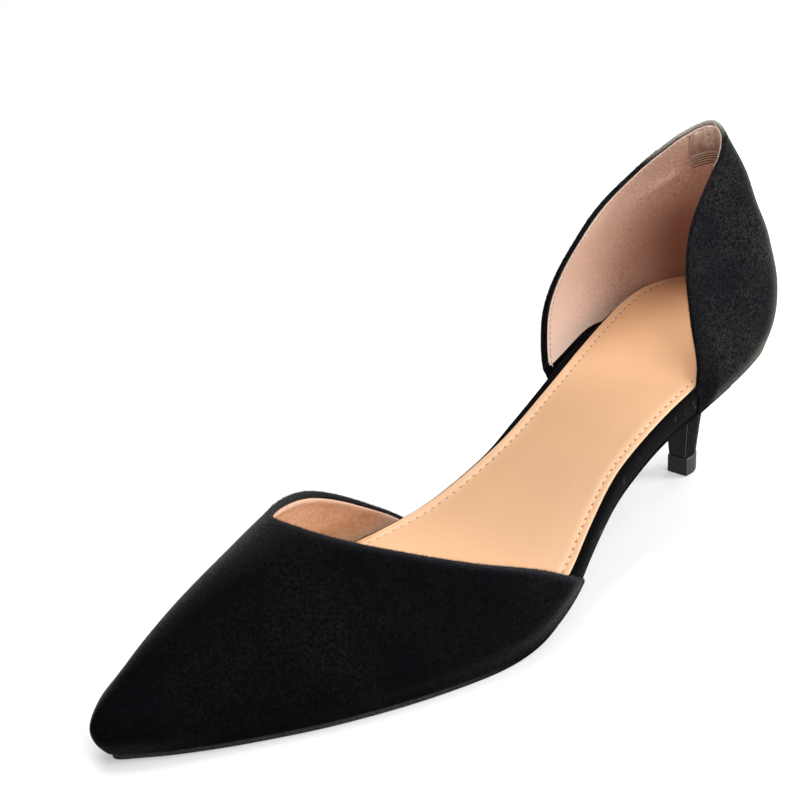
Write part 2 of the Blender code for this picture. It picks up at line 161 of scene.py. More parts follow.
def insetOutline(turn, side, inset):
    # the outline moved inwards, square to itself
    turn = np.asarray(turn, dtype=float)
    small = 0.004
    ahead, behind = np.minimum(turn + small, math.pi), np.maximum(turn - small, 0.0)
    along = unit(outlineAt(ahead, side) - outlineAt(behind, side))
    inward = np.stack((along[..., 1], -along[..., 0]), axis=-1) * side
    atEnd = (turn < small) | (turn > math.pi - small)
    inward[atEnd] = np.stack((np.sign(np.cos(turn[atEnd])), np.zeros(atEnd.sum())), axis=-1)
    return outlineAt(turn, side) + inward * np.asarray(inset, dtype=float)[..., None]


# mesh helpers: grids are arrays of rows, columns and xyz in mm on the last

def addGrid(bm, grid, mark=0.0):
    layer = bm.verts.layers.float.get("mark") or bm.verts.layers.float.new("mark")
    placed = (np.asarray(grid, dtype=float) + shift) * mm
    marks = np.broadcast_to(mark, placed.shape[:2]).tolist()
    corners = []
    for row, rowMarks in zip(placed.tolist(), marks):
        line = [bm.verts.new(p) for p in row]
        for corner, value in zip(line, rowMarks):
            corner[layer] = value
        corners.append(line)
    return corners


def skinGrid(bm, corners, wrap=False):
    for low, high in zip(corners[:-1], corners[1:]):
        if wrap:
            low, high = low + low[:1], high + high[:1]
        for i in range(len(low) - 1):
            bm.faces.new((low[i], low[i + 1], high[i + 1], high[i]))


def placePiece(name, mesh, stands=None):
    piece = bpy.data.objects.new(name, mesh)
    bpy.context.scene.collection.objects.link(piece)
    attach(piece, "root")
    if stands:
        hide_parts(stands)
    return piece


def finishMesh(bm, name, material, stands=None, sharp=50.0):
    bmesh.ops.remove_doubles(bm, verts=bm.verts, dist=2e-7)
    bmesh.ops.dissolve_degenerate(bm, edges=bm.edges, dist=1e-8)
    bmesh.ops.recalc_face_normals(bm, faces=bm.faces)
    mesh = bpy.data.meshes.new(name)
    bm.to_mesh(mesh)
    bm.free()
    mesh.materials.append(material)
    mesh.shade_smooth()
    mesh.set_sharp_from_angle(angle=math.radians(sharp))
    return placePiece(name, mesh, stands)


def rimRows(outerEdge, innerEdge, away, steps=7):
    # rows of a round edge from the outer wall over to the inner one
    middle = (outerEdge + innerEdge) / 2.0
    half = (outerEdge - innerEdge) / 2.0
    size = np.linalg.norm(half, axis=-1, keepdims=True)
    turns = np.linspace(0.0, math.pi, steps + 1)[1:-1]
    return np.stack([middle + half * math.cos(t) + away * size * math.sin(t) for t in turns])


def wallPiece(name, outer, inner, away, hasBase, material, slotName, stands, mark, innerMark):
    # closed wall: rows run from the free edge, which is rounded over, to the toe or the base
    bm = bmesh.new()
    out = addGrid(bm, outer, mark)
    ins = addGrid(bm, inner, innerMark)
    rim = addGrid(bm, rimRows(outer[0], inner[0], away), 1.0)
    skinGrid(bm, [out[0]] + rim + [ins[0]])
    skinGrid(bm, out)
    skinGrid(bm, ins)
    for end in (0, -1):
        for low in range(len(out) - 1):
            bm.faces.new((out[low][end], out[low + 1][end], ins[low + 1][end], ins[low][end]))
        bm.faces.new([out[0][end]] + [row[end] for row in rim] + [ins[0][end]])
    if hasBase:
        skinGrid(bm, [out[-1], ins[-1]])
    return finishMesh(bm, name, material, stands)


# node helper: a socket that can be used in sums, and one way to add any other node

class Wire:
    def __init__(self, tree, socket=None):
        self.tree = tree
        self.socket = socket

    def add(self, kind, inputs=None, output=0, settings=None):
        node = self.tree.nodes.new(kind)
        for key, value in (settings or {}).items():
            setattr(node, key, value)
        for key, value in (inputs or {}).items():
            if isinstance(value, Wire):
                value.into(node.inputs[key])
            else:
                node.inputs[key].default_value = value
        return Wire(self.tree, node.outputs[output])

    def into(self, socket):
        self.tree.links.new(self.socket, socket)

    def maths(self, operation, a, b):
        return self.add("ShaderNodeMath", {0: a, 1: b}, 0, {"operation": operation})

    def __add__(self, other):
        return self.maths("ADD", self, other)

    def __radd__(self, other):
        return self.maths("ADD", other, self)

    def __sub__(self, other):
        return self.maths("SUBTRACT", self, other)

    def __rsub__(self, other):
        return self.maths("SUBTRACT", other, self)

    def __mul__(self, other):
        return self.maths("MULTIPLY", self, other)

    def __pow__(self, other):
        return self.maths("POWER", self, other)

    def between(self, low, high):
        # this value brought from low..high to 0..1
        limits = {"Value": self, "From Min": low, "From Max": high}
        return self.add("ShaderNodeMapRange", limits, 0, {"clamp": True})

    def place(self):
        # where a point lies on the piece, in metres
        return self.add("ShaderNodeTexCoord", None, "Object")

    def axis(self, name):
        return self.add("ShaderNodeSeparateXYZ", {0: self.place()}, name)

    def mark(self):
        return self.add("ShaderNodeAttribute", None, "Fac", {"attribute_name": "mark"})

    def noise(self, scale, low, high, detail=2.0, rough=0.55, stretch=None):
        # grain over the piece, brought from low..high to 0..1
        place = self.place()
        if stretch:
            place = self.add("ShaderNodeMapping", {"Vector": place, "Scale": stretch})
        grain = {"Vector": place, "Scale": scale, "Detail": detail, "Roughness": rough}
        return self.add("ShaderNodeTexNoise", grain).between(low, high)

    def layered(self, colour, *layers):
        # a colour with others laid over it one after another, each with its share
        for share, over in layers:
            a, b = [(*c, 1.0) if isinstance(c, tuple) else c for c in (colour, over)]
            colour = self.add("ShaderNodeMix", {0: share, 6: a, 7: b}, 2, {"data_type": "RGBA"})
        return colour


def newFinish(name):
    material = bpy.data.materials.new(name)
    material.use_nodes = True
    return material, Wire(material.node_tree)


def setShader(material, values):
    shader = material.node_tree.nodes["Principled BSDF"]
    for name, value in values.items():
        if isinstance(value, Wire):
            value.into(shader.inputs[name])
        else:
            shader.inputs[name].default_value = (*value, 1.0) if isinstance(value, tuple) else value


def endFinish(material, wire, colour, roughness, bump, values):
    relief = wire.add("ShaderNodeBump", bump, "Normal")
    setShader(material, {**values, "Base Color": colour, "Roughness": roughness, "Normal": relief})
    return material


# materials: pairs are from and to, in metres along an axis of the part unless their name says otherwise

suedeLook = {
    "deep": (0.0012, 0.0011, 0.0015), "nap": (0.0026, 0.0024, 0.0034), "brushed": (0.0068, 0.0064, 0.0066),
    "cloud": {"scale": 45.0, "low": 0.36, "high": 0.66, "detail": 3.0},
    "tuft": {"scale": 1150.0, "low": 0.39, "high": 0.63, "detail": 3.0, "rough": 0.6},
    "fibre": {"scale": 2600.0, "low": 0.36, "high": 0.64, "rough": 0.6},
    "reliefAndPaintedTopLight": (0.024, 0.0235, 0.0225), "paintedTopShare": 1.0, "paintedTopZ": (0.036, 0.060),
    "front": 0.0, "frontX": (-0.080, -0.066), "frontZ": (0.095, 0.075),
    "paintedSheen": (0.052, 0.051, 0.047), "grazeFacing": (0.28, 1.0), "grazePower": 1.3, "grazeZ": (0.010, 0.030),
    "lip": (0.030, 0.031, 0.036), "lipShare": 0.75,
    "worn": (0.43, 0.412, 0.36), "rimLightZ": (0.104, 0.112), "rearY": (0.006, 0.012),
    "bump": {"Strength": 0.6, "Distance": 0.0002},
    "shader": {"Specular IOR Level": 0.015, "Sheen Weight": 0.13, "Sheen Roughness": 0.22,
               "Sheen Tint": (0.95, 0.96, 0.90)},
}
# lit copy of the suede for the quarter and heel: its lighter nap and sheen are painted light
litNap = {
    "deep": (0.0010, 0.0010, 0.0017), "nap": (0.0076, 0.0071, 0.0094), "brushed": (0.0280, 0.0268, 0.0236),
    "paintedTopShare": 0.05, "front": 0.8, "lipShare": 0.0,
    "paintedSheen": (0.13, 0.127, 0.10), "grazeFacing": (0.55, 1.0), "grazePower": 2.0,
}


def suedeFinish(name, look):
    # short black nap: clouds where it was brushed, tufts and single fibres; painted sheen where its fibres
    # are seen edge on, a painted highlight high up, painted shade at the quarter's lower front end, greyer on
    # the folded edge where mark is 1, and a painted rim highlight on that edge towards the peak of the collar
    material, wire = newFinish(name)
    cloud, tuft, fibre = [wire.noise(**look[grain]) for grain in ("cloud", "tuft", "fibre")]
    x, y, z = [wire.axis(axis) for axis in "XYZ"]
    # painted highlight: the suede lighter high up, where the crest of the vamp faces the light from above
    reliefAndPaintedTopLight = z.between(*look["paintedTopZ"]) * (0.25 + tuft * 0.35) * look["paintedTopShare"]
    # painted shade: the quarter's lower front end darkened towards the deep nap colour
    front = x.between(*look["frontX"]) * z.between(*look["frontZ"]) * look["front"]
    # painted sheen: a grey tint where the fibres are seen edge on, stronger higher up
    facing = wire.add("ShaderNodeLayerWeight", {"Blend": 0.5}, "Facing")
    paintedSheenMask = facing.between(*look["grazeFacing"]) ** look["grazePower"] * (0.5 + tuft * 0.5)
    paintedSheenMask = paintedSheenMask * (0.3 + z.between(*look["grazeZ"]) * 0.7)
    lipped = wire.mark() * (0.4 + fibre * 0.6) * look["lipShare"]
    rear = 1.0 - y.between(*look["rearY"])
    # painted highlight: the folded edge at the back of the collar's peak, where mark is 1, light grey as if
    # backlit
    worn = z.between(*look["rimLightZ"]) * rear * wire.mark() * (0.7 + tuft * 0.3)
    colour = wire.layered(
        look["deep"], (tuft * 0.6 + fibre * 0.4, look["nap"]), (reliefAndPaintedTopLight, look["reliefAndPaintedTopLight"]),
        (cloud * tuft * fibre, look["brushed"]), (front, look["deep"]), (paintedSheenMask, look["paintedSheen"]),
        (lipped, look["lip"]), (worn, look["worn"]))
    bump = {"Height": fibre * 0.5 + tuft * 0.5, **look["bump"]}
    return endFinish(material, wire, colour, 0.97 - tuft * 0.12, bump, look["shader"])


wrapLook = {
    "dark": (0.0006, 0.0006, 0.0008), "light": (0.0022, 0.0021, 0.0025),
    "rubbedAndGlint": (0.050, 0.051, 0.056), "glintShare": 0.55, "roughness": 0.8, "shine": 0.4,
    "grain": {"scale": 900.0, "low": 0.3, "high": 0.7, "detail": 3.0},
    "spots": {"scale": 260.0, "low": 0.59, "high": 0.68, "detail": 3.0, "rough": 0.65},
    "bump": {"Strength": 0.35, "Distance": 0.0003},
    "shader": {"Specular IOR Level": 0.05, "Sheen Weight": 0.02, "Sheen Roughness": 0.3},
}


def wrapFinish(name, look):
    # black wrapped edge, rubbed shiny in spots along its middle, where mark is 1, with painted glints in the
    # same spots
    material, wire = newFinish(name)
    grain = wire.noise(**look["grain"])
    rubbedAndGlint = wire.noise(**look["spots"]) * wire.mark()
    paintedGlint = (rubbedAndGlint * look["glintShare"], look["rubbedAndGlint"])
    colour = wire.layered(look["dark"], (grain, look["light"]), paintedGlint)
    roughness = look["roughness"] + grain * 0.2 - rubbedAndGlint * look["shine"]
    return endFinish(material, wire, colour, roughness, {"Height": grain, **look["bump"]}, look["shader"])


sockLook = {
    "main": (0.500, 0.283, 0.148), "warm": (0.525, 0.302, 0.160), "crease": (0.60, 0.33, 0.17),
    "heelPaintedLight": (0.75, 0.437, 0.236), "heelX": (-0.04, -0.09),
    "toePaintedLight": (0.69, 0.408, 0.222), "toeX": (-0.02, 0.02),
    "pale": (0.72, 0.475, 0.300), "paleShare": 0.45, "roughness": 0.44,
    "cloud": {"scale": 24.0, "low": 0.3, "high": 0.7, "detail": 4.0, "rough": 0.6},
    "pore": {"scale": 1500.0, "low": 0.3, "high": 0.72, "detail": 3.0, "rough": 0.6},
    "wiped": {"scale": 70.0, "low": 0.35, "high": 0.7, "rough": 0.5, "stretch": (0.2, 1.0, 1.0)},
    "bump": {"Strength": 0.14, "Distance": 0.0002},
    "shader": {"Specular IOR Level": 0.38, "Coat Weight": 0.05, "Coat Roughness": 0.3},
}


def sockFinish(name, look):
    # smooth tan cover, with painted light towards the heel and the toe; mark is 1 on the pale border outside
    # the stitches
    material, wire = newFinish(name)
    cloud, pore, wiped = [wire.noise(**look[grain]) for grain in ("cloud", "pore", "wiped")]
    x = wire.axis("X")
    colour = wire.layered(
        look["main"], (cloud * 0.8 + wiped * 0.2, look["warm"]), (pore ** 3.0 * 0.16, look["crease"]),
        (x.between(*look["heelX"]), look["heelPaintedLight"]), (x.between(*look["toeX"]), look["toePaintedLight"]),
        (wire.mark() * look["paleShare"], look["pale"]))
    roughness = look["roughness"] + wiped * 0.1 - cloud * 0.05
    bump = {"Height": pore * 0.6 + cloud * 0.4, **look["bump"]}
    return endFinish(material, wire, colour, roughness, bump, look["shader"])


clothLook = {
    "backX": (-0.070, -0.116), "frontX": (-0.099, -0.066), "topZ": (0.080, 0.110), "markShare": 0.65,
    "shader": {"Specular IOR Level": 0.2, "Sheen Roughness": 0.5, "Sheen Tint": (1.0, 0.86, 0.76)},
}
liningLook = {
    "quarter": {"deep": (0.56, 0.335, 0.250), "main": (0.86, 0.575, 0.445), "pale": (0.92, 0.69, 0.575),
                "shade": (0.285, 0.130, 0.085), "paintedFrontLight": 1.0,
                "fibre": 1150.0, "roughness": 0.92, "sheen": 0.2, "relief": 0.0003},
    "vamp": {"deep": (0.385, 0.202, 0.106), "main": (0.445, 0.241, 0.131), "pale": (0.47, 0.312, 0.232),
             "shade": (0.40, 0.21, 0.12), "paintedFrontLight": 0.0,
             "fibre": 900.0, "roughness": 0.6, "sheen": 0.08, "relief": 0.00012},
    "grip": {"deep": (0.20, 0.120, 0.088), "main": (0.47, 0.310, 0.240), "pale": (0.74, 0.55, 0.46),
             "shade": (0.24, 0.14, 0.10), "paintedFrontLight": 0.0,
             "fibre": 1500.0, "roughness": 0.9, "sheen": 0.15, "relief": 0.0003},
    "elastic": {"deep": (0.42, 0.26, 0.19), "main": (0.66, 0.45, 0.35), "pale": (0.78, 0.58, 0.49),
                "shade": (0.42, 0.26, 0.19), "paintedFrontLight": 0.0,
                "fibre": 1500.0, "roughness": 0.8, "sheen": 0.1, "relief": 0.0002},
    "lip": {"deep": (0.46, 0.34, 0.29), "main": (0.62, 0.48, 0.42), "pale": (0.72, 0.60, 0.54),
            "shade": (0.46, 0.34, 0.29), "paintedFrontLight": 0.0,
            "fibre": 1500.0, "roughness": 0.8, "sheen": 0.2, "relief": 0.0002},
}


def liningFinish(name, look):
    # microsuede: pinkish speckle on a warm ground, with painted shade down in the heel and painted light
    # towards the quarter's front end and on the folded edge, where mark is 1
    material, wire = newFinish(name)
    cloud = wire.noise(scale=42.0, low=0.3, high=0.7, detail=3.0)
    speck = wire.noise(scale=look["fibre"], low=0.36, high=0.64, rough=0.65)
    x = wire.axis("X")
    # painted shade down in the heel, less of it near the top
    back = x.between(*clothLook["backX"]) * (1.0 - wire.axis("Z").between(*clothLook["topZ"]) * 0.75)
    # painted light towards the quarter's front end
    front = x.between(*clothLook["frontX"]) * look["paintedFrontLight"]
    # the folded edge, where mark is 1, gets a painted highlight
    colour = wire.layered(
        look["deep"], (speck * 0.75 + cloud * 0.25, look["main"]), (speck * cloud * 0.7, look["pale"]),
        (back, look["shade"]), (front + wire.mark() * clothLook["markShare"], look["pale"]))
    bump = {"Height": speck, "Strength": 0.35, "Distance": look["relief"]}
    values = {**clothLook["shader"], "Sheen Weight": look["sheen"]}
    return endFinish(material, wire, colour, look["roughness"] - speck * 0.08, bump, values)


satinEdgeHighlight = (0.085, 0.087, 0.092)
satinLook = {
    "soleEdgePaint": {"dark": (0.0010, 0.0010, 0.0013), "light": (0.0024, 0.0025, 0.0031),
                      "roughness": 0.75, "shine": 0.02, "grain": 900.0, "relief": 0.05},
    "heelTipRubber": {"dark": (0.0050, 0.0050, 0.0056), "light": (0.0130, 0.0130, 0.0138),
                      "roughness": 0.46, "shine": 0.28, "grain": 1400.0, "relief": 0.1},
    "breastCover": {"dark": (0.0020, 0.0020, 0.0028), "light": (0.0055, 0.0055, 0.0074),
                    "roughness": 0.52, "shine": 0.2, "grain": 1100.0, "relief": 0.1},
}


def satinFinish(name, look):
    # painted or moulded black, with a painted highlight along its edges where mark is 1
    material, wire = newFinish(name)
    cloud = wire.noise(scale=55.0, low=0.32, high=0.72, detail=4.0, rough=0.6)
    fine = wire.noise(scale=look["grain"], low=0.3, high=0.7, detail=3.0, rough=0.6)
    colour = wire.layered(look["dark"], (cloud * 0.6 + fine * 0.4, look["light"]),
                          (wire.mark() * (0.4 + fine * 0.5), satinEdgeHighlight))
    roughness = look["roughness"] + cloud * 0.14 + fine * 0.06
    bump = {"Height": fine, "Strength": look["relief"], "Distance": 0.0002}
    return endFinish(material, wire, colour, roughness, bump, {"Specular IOR Level": look["shine"]})


yarnLook = {
    "sockThreadYarn": {"low": (0.60, 0.38, 0.215), "high": (0.82, 0.60, 0.40),
                       "roughness": 0.6, "shine": 0.4},
    "liningYarn": {"low": (0.52, 0.39, 0.32), "high": (0.84, 0.72, 0.63),
                   "roughness": 0.6, "shine": 0.4},
    "blackYarn": {"low": (0.0015, 0.0015, 0.0018), "high": (0.006, 0.006, 0.0065),
                  "roughness": 0.8, "shine": 0.05},
    # dark brown cords that stand for painted shade between the elastic's ribs
    "gapShade": {"low": (0.050, 0.026, 0.018), "high": (0.12, 0.066, 0.046),
                "roughness": 0.9, "shine": 0.05},
    # dark grains beside the threads, painted shade for the needle holes
    "holeShade": {"low": (0.30, 0.142, 0.078), "high": (0.45, 0.235, 0.135),
                   "roughness": 0.85, "shine": 0.1},
}


def yarnFinish(name, look):
    material, wire = newFinish(name)
    twist = wire.noise(scale=3000.0, low=0.3, high=0.7, detail=1.0, rough=0.5)
    colour = wire.layered(look["low"], (twist, look["high"]))
    bump = {"Height": twist, "Strength": 0.4, "Distance": 0.0001}
    values = {"Specular IOR Level": look["shine"]}
    return endFinish(material, wire, colour, look["roughness"] + twist * 0.1, bump, values)


blackSuede = suedeFinish("blackSuede", suedeLook)
# the quarter and heel get the lit copy, whose lighter nap is painted light
litSuede = suedeFinish("litSuede", {**suedeLook, **litNap})
wrapBlack = wrapFinish("wrapBlack", wrapLook)
tanSock = sockFinish("tanSock", sockLook)
cloth = {name: liningFinish(name + "Cloth", look) for name, look in liningLook.items()}
satin = {name: satinFinish(name, look) for name, look in satinLook.items()}
yarn = {name: yarnFinish(name, look) for name, look in yarnLook.items()}
print("materials made")


# node trees that sew, lay cords and raise nap; each ends in plain mesh with its material

def newTree(name, inputs):
    tree = bpy.data.node_groups.new(name, "GeometryNodeTree")
    tree.interface.new_socket("Geometry", in_out="OUTPUT", socket_type="NodeSocketGeometry")
    for label, kind in inputs.items():
        tree.interface.new_socket(label, in_out="INPUT", socket_type="NodeSocket" + kind)
    source = tree.nodes.new("NodeGroupInput")
    return Wire(tree), {label: Wire(tree, source.outputs[label]) for label in inputs}


def endTree(wire, geometry, material):
    real = wire.add("GeometryNodeRealizeInstances", {"Geometry": geometry})
    done = wire.add("GeometryNodeSetMaterial", {"Geometry": real, "Material": material})
    done.into(wire.tree.nodes.new("NodeGroupOutput").inputs["Geometry"])
    return wire.tree


def turnedBy(wire, rotation, twist):
    turn = {"Rotation": rotation, "Rotate By": twist}
    return wire.add("FunctionNodeRotateRotation", turn, 0, {"rotation_space": "LOCAL"})


def sewingTree():
    # a row of grains along a path: threads, or needle holes when short
    wire, given = newTree("sewing", {
        "Path": "Geometry", "Pitch": "Float", "Size": "Vector", "Place": "Vector", "Sway": "Float",
        "Seed": "Int", "Material": "Material"})
    curve = wire.add("GeometryNodeMeshToCurve", {"Mesh": given["Path"]})
    pitch = {"Curve": curve, "Length": given["Pitch"]}
    row = wire.add("GeometryNodeResampleCurve", pitch, 0, {"mode": "LENGTH"})
    up = wire.add("GeometryNodeInputNamedAttribute", {"Name": "up"}, 0, {"data_type": "FLOAT_VECTOR"})
    axes = {"Primary Axis": up, "Secondary Axis": wire.add("GeometryNodeInputTangent")}
    facing = wire.add("FunctionNodeAxesToRotation", axes, 0, {"primary_axis": "Z", "secondary_axis": "X"})
    sway = {2: given["Sway"] * -1.0, 3: given["Sway"], "Seed": given["Seed"]}
    twist = wire.add("ShaderNodeCombineXYZ", {"Z": wire.add("FunctionNodeRandomValue", sway, 1)})
    ball = wire.add("GeometryNodeMeshUVSphere", {"Segments": 10, "Rings": 6, "Radius": 1.0})
    moved = {"Geometry": ball, "Translation": given["Place"], "Scale": given["Size"]}
    sewn = {"Points": row, "Instance": wire.add("GeometryNodeTransform", moved),
            "Rotation": turnedBy(wire, facing, twist)}
    return endTree(wire, wire.add("GeometryNodeInstanceOnPoints", sewn), given["Material"])


def cordTree():
    # a round cord along every path
    wire, given = newTree("ribs", {"Path": "Geometry", "Radius": "Float", "Material": "Material"})
    curve = wire.add("GeometryNodeMeshToCurve", {"Mesh": given["Path"]})
    ring = wire.add("GeometryNodeCurvePrimitiveCircle", {"Resolution": 10, "Radius": given["Radius"]})
    cords = wire.add("GeometryNodeCurveToMesh", {"Curve": curve, "Profile Curve": ring, "Fill Caps": True})
    return endTree(wire, cords, given["Material"])


def napTree():
    # loose fibres standing on a surface, thickest where its mark is 1
    wire, given = newTree("nap", {
        "Surface": "Geometry", "Density": "Float", "Least": "Float", "Length": "Float", "Radius": "Float",
        "Seed": "Int", "Material": "Material"})
    seed = given["Seed"]
    mark = wire.add("GeometryNodeInputNamedAttribute", {"Name": "mark"}, 0, {"data_type": "FLOAT"})
    dense = (mark ** 2.0 + given["Least"]) * given["Density"]
    spots = {"Mesh": given["Surface"], "Density": dense, "Seed": seed}
    points = wire.add("GeometryNodeDistributePointsOnFaces", spots)
    upright = Wire(wire.tree, points.socket.node.outputs["Rotation"])
    reach = {0: (-0.9, -0.9, -3.1), 1: (0.9, 0.9, 3.1), "Seed": seed}
    lean = wire.add("FunctionNodeRandomValue", reach, 0, {"data_type": "FLOAT_VECTOR"})
    size = wire.add("FunctionNodeRandomValue", {2: 0.5, 3: 1.2, "Seed": seed}, 1)
    cone = {"Vertices": 3, "Radius Top": 0.0, "Radius Bottom": given["Radius"], "Depth": given["Length"]}
    grown = {"Points": points, "Instance": wire.add("GeometryNodeMeshCone", cone),
             "Rotation": turnedBy(wire, upright, lean), "Scale": size}
    return endTree(wire, wire.add("GeometryNodeInstanceOnPoints", grown), given["Material"])


def grownPiece(name, mesh, tree, values):
    piece = placePiece(name, mesh)
    modifier = piece.modifiers.new("grow", "NODES")
    modifier.node_group = tree
    for item in tree.interface.items_tree:
        if item.item_type == "SOCKET" and item.in_out == "INPUT" and item.name in values:
            modifier[item.identifier] = values[item.name]
    bpy.context.view_layer.update()
    grown = bpy.data.meshes.new_from_object(piece.evaluated_get(bpy.context.evaluated_depsgraph_get()))
    piece.modifiers.clear()
    grown.name = name
    piece.data = grown
    grown.shade_smooth()
    return piece


def pathMesh(name, paths):
    # open lines in mm on the last, each with the way up at its points
    mesh = bpy.data.meshes.new(name)
    points, ups = [np.concatenate(parts) for parts in zip(*paths)]
    edges, start = [], 0
    for line, _ in paths:
        edges += [(start + i, start + i + 1) for i in range(len(line) - 1)]
        start += len(line)
    mesh.from_pydata(((points + shift) * mm).tolist(), edges, [])
    layer = mesh.attributes.new("up", "FLOAT_VECTOR", "POINT")
    layer.data.foreach_set("vector", ups.astype(np.float32).ravel())
    return mesh


sewing, cording, napping = sewingTree(), cordTree(), napTree()
sewingSeed = 3


def sewRow(name, paths, look, material):
    size, place = [tuple(v * mm for v in look[key]) for key in ("size", "place")]
    values = {"Pitch": look["pitch"] * mm, "Size": size, "Place": place, "Sway": look["sway"],
              "Seed": sewingSeed, "Material": material}
    return grownPiece(name, pathMesh(name, paths), sewing, values)


def layCords(name, paths, radius, material):
    values = {"Radius": radius * mm, "Material": material}
    return grownPiece(name, pathMesh(name, paths), cording, values)


nap = {"perSquareMm": 11.0, "least": 0.004, "length": 0.62, "radius": 0.05}


def raiseNap(name, surface, seed):
    values = {"Density": nap["perSquareMm"] / mm ** 2, "Least": nap["least"], "Length": nap["length"] * mm,
              "Radius": nap["radius"] * mm, "Seed": seed, "Material": blackSuede}
    return grownPiece(name, surface.data.copy(), napping, values)


print("node trees made")


def edgeOffset(surface, a, b, inset, distance, sense, ease=0.0):
    # moves the edge curve (a, b) of a surface inwards by a distance; sense tells which way b leads in,
    # ease keeps a from running away where the surface is pinched
    along = unit(np.gradient(surface(a, b, inset), axis=0))
    stepA, stepB = np.ptp(a) / 400.0, 0.5
    byA = (surface(a + stepA, b, inset) - surface(a - stepA, b, inset)) / (2.0 * stepA)
    byB = (surface(a, b + stepB, inset) - surface(a, b - stepB, inset)) / (2.0 * stepB)
    square = unit(np.cross(byA, byB))
    inward = np.cross(square, along)
    inward = inward * np.sign((inward * byB).sum(-1, keepdims=True) * sense)
    aa, ab, bb = (byA * byA).sum(-1) + ease, (byA * byB).sum(-1), (byB * byB).sum(-1)
    ua, ub = (byA * inward).sum(-1), (byB * inward).sum(-1)
    scale = distance / (aa * bb - ab * ab)
    return a + scale * (ua * bb - ub * ab), b + scale * (ub * aa - ua * ab), -inward


def hump(x):
    # round hill, 1 at its middle and almost 0 from 2 on
    return np.exp(-x ** 2)


def ripple(u, v, seed, waves=5):
    # small even waviness between -1 and 1, the same on every run
    chance = np.random.default_rng(seed)
    total = 0.0
    limits = ((0.0, 2.0 * math.pi), (0.0, 6.3), (0.6, 1.6))
    for turn, phase, reach in zip(*[chance.uniform(low, high, waves) for low, high in limits]):
        total = total + np.sin((u * math.cos(turn) + v * math.sin(turn)) * reach + phase)
    return total / waves


# vamp

vamp = {
    "columns": ("x", "crestY", "crestZ"),
    "crest": (
        (118.0, -6.0, 70.0),
        (140.0, -11.0, 60.5),
        (160.0, -14.5, 51.2),
        (178.0, -16.5, 42.8),
        (192.0, -17.5, 38.3),
        (209.0, -18.3, 33.5),
        (226.0, -18.5, 27.6),
        (241.0, -18.0, 21.0),
        (249.0, -17.3, 16.4),
        (252.5, -16.8, 12.0),
    ),
    "topline": {
        "columns": ("angle", "x"),
        "rows": (
            (0.0, 126.0), (12.0, 136.0), (22.0, 146.4), (36.0, 163.1), (50.0, 174.6), (65.0, 183.2),
            (80.0, 187.8), (95.0, 188.9), (108.0, 187.2), (122.0, 181.1), (135.0, 172.0), (148.0, 161.0),
            (160.0, 149.5), (170.0, 139.5), (180.0, 129.0),
        ),
    },
    "root": 118.0, "fullLeft": 1.95, "fullRight": 2.5, "overhang": 0.6,
    "bulge": 1.8, "bulgeHeight": 16.0, "slimHalf": 6.0,
    "tipReach": 4.0, "tipStart": 225.0, "tipHeight": 8.0, "tipTuck": 0.9, "tipSlope": 0.5, "tipLeast": 0.4,
    "suedeWall": 1.45, "liningFrom": 1.5, "liningTo": 1.95, "liningBelowEdge": 0.8,
    "bead": 0.55, "beadReach": 2.3, "foldReach": 0.8,
    "creaseAt": 138.0, "creaseWidth": 22.0, "creaseReach": 16.0, "creaseDepth": 0.3,
    "across": 220, "along": 110, "rowEase": 1.25, "soften": 4.0, "napSeed": 5,
}
crestY, crestZ = [fromTable(vamp, "crest", name, vamp["soften"]) for name in ("crestY", "crestZ")]
toplineX = fromTable(vamp["topline"], "rows", "x", vamp["soften"])


def vampAt(angle, x, inset):
    # angle runs from 0 at the left edge over the instep to 180 at the right edge
    turn = np.radians(angle)
    isLeft = angle < 90.0
    reachX = last["length"] + vamp["overhang"] - inset
    along = vamp["root"] + (x - vamp["root"]) * (last["length"] - vamp["root"]) / (reachX - vamp["root"])
    edge = np.where(isLeft, leftEdge(turnAt(along)), rightEdge(turnAt(along)))
    ridge = crestY(along)
    half = np.abs(edge - ridge)
    slim = np.minimum(1.0, half / vamp["slimHalf"])
    reach = half + (vamp["overhang"] - inset) * slim
    base = feather(x) + last["seamGap"] / 2.0
    rise = crestZ(along) - inset - base
    power = 2.0 / np.where(isLeft, vamp["fullLeft"], vamp["fullRight"])
    height = rise * np.maximum(np.sin(turn), 0.0) ** power
    swell = np.sin(math.pi * np.minimum(1.0, height / vamp["bulgeHeight"])) ** 2
    out = reach * np.abs(np.cos(turn)) ** power + vamp["bulge"] * swell * slim
    off = (height / vamp["tipHeight"] - 1.0) ** 2
    above = np.maximum(1.0 - vamp["tipSlope"] * off, vamp["tipLeast"])
    kept = np.where(height < vamp["tipHeight"], 1.0 - vamp["tipTuck"] * off, above)
    tip = vamp["tipReach"] * kept * easeStep(x, vamp["tipStart"], last["length"])
    return np.stack((x + tip, ridge + np.where(isLeft, out, -out), base + height), axis=-1)


def vampEdge(angle, inset, distance):
    # x of a line that keeps its distance from the topline, and the way out of the edge there
    fine = np.linspace(0.5, 179.5, 720)
    a, x, away = edgeOffset(vampAt, fine, toplineX(fine), inset, distance, 1.0)
    order = np.argsort(a)
    outward = np.stack([np.interp(angle, fine, away[:, k]) for k in range(3)], axis=-1)
    return np.interp(angle, a[order], x[order]), unit(outward)


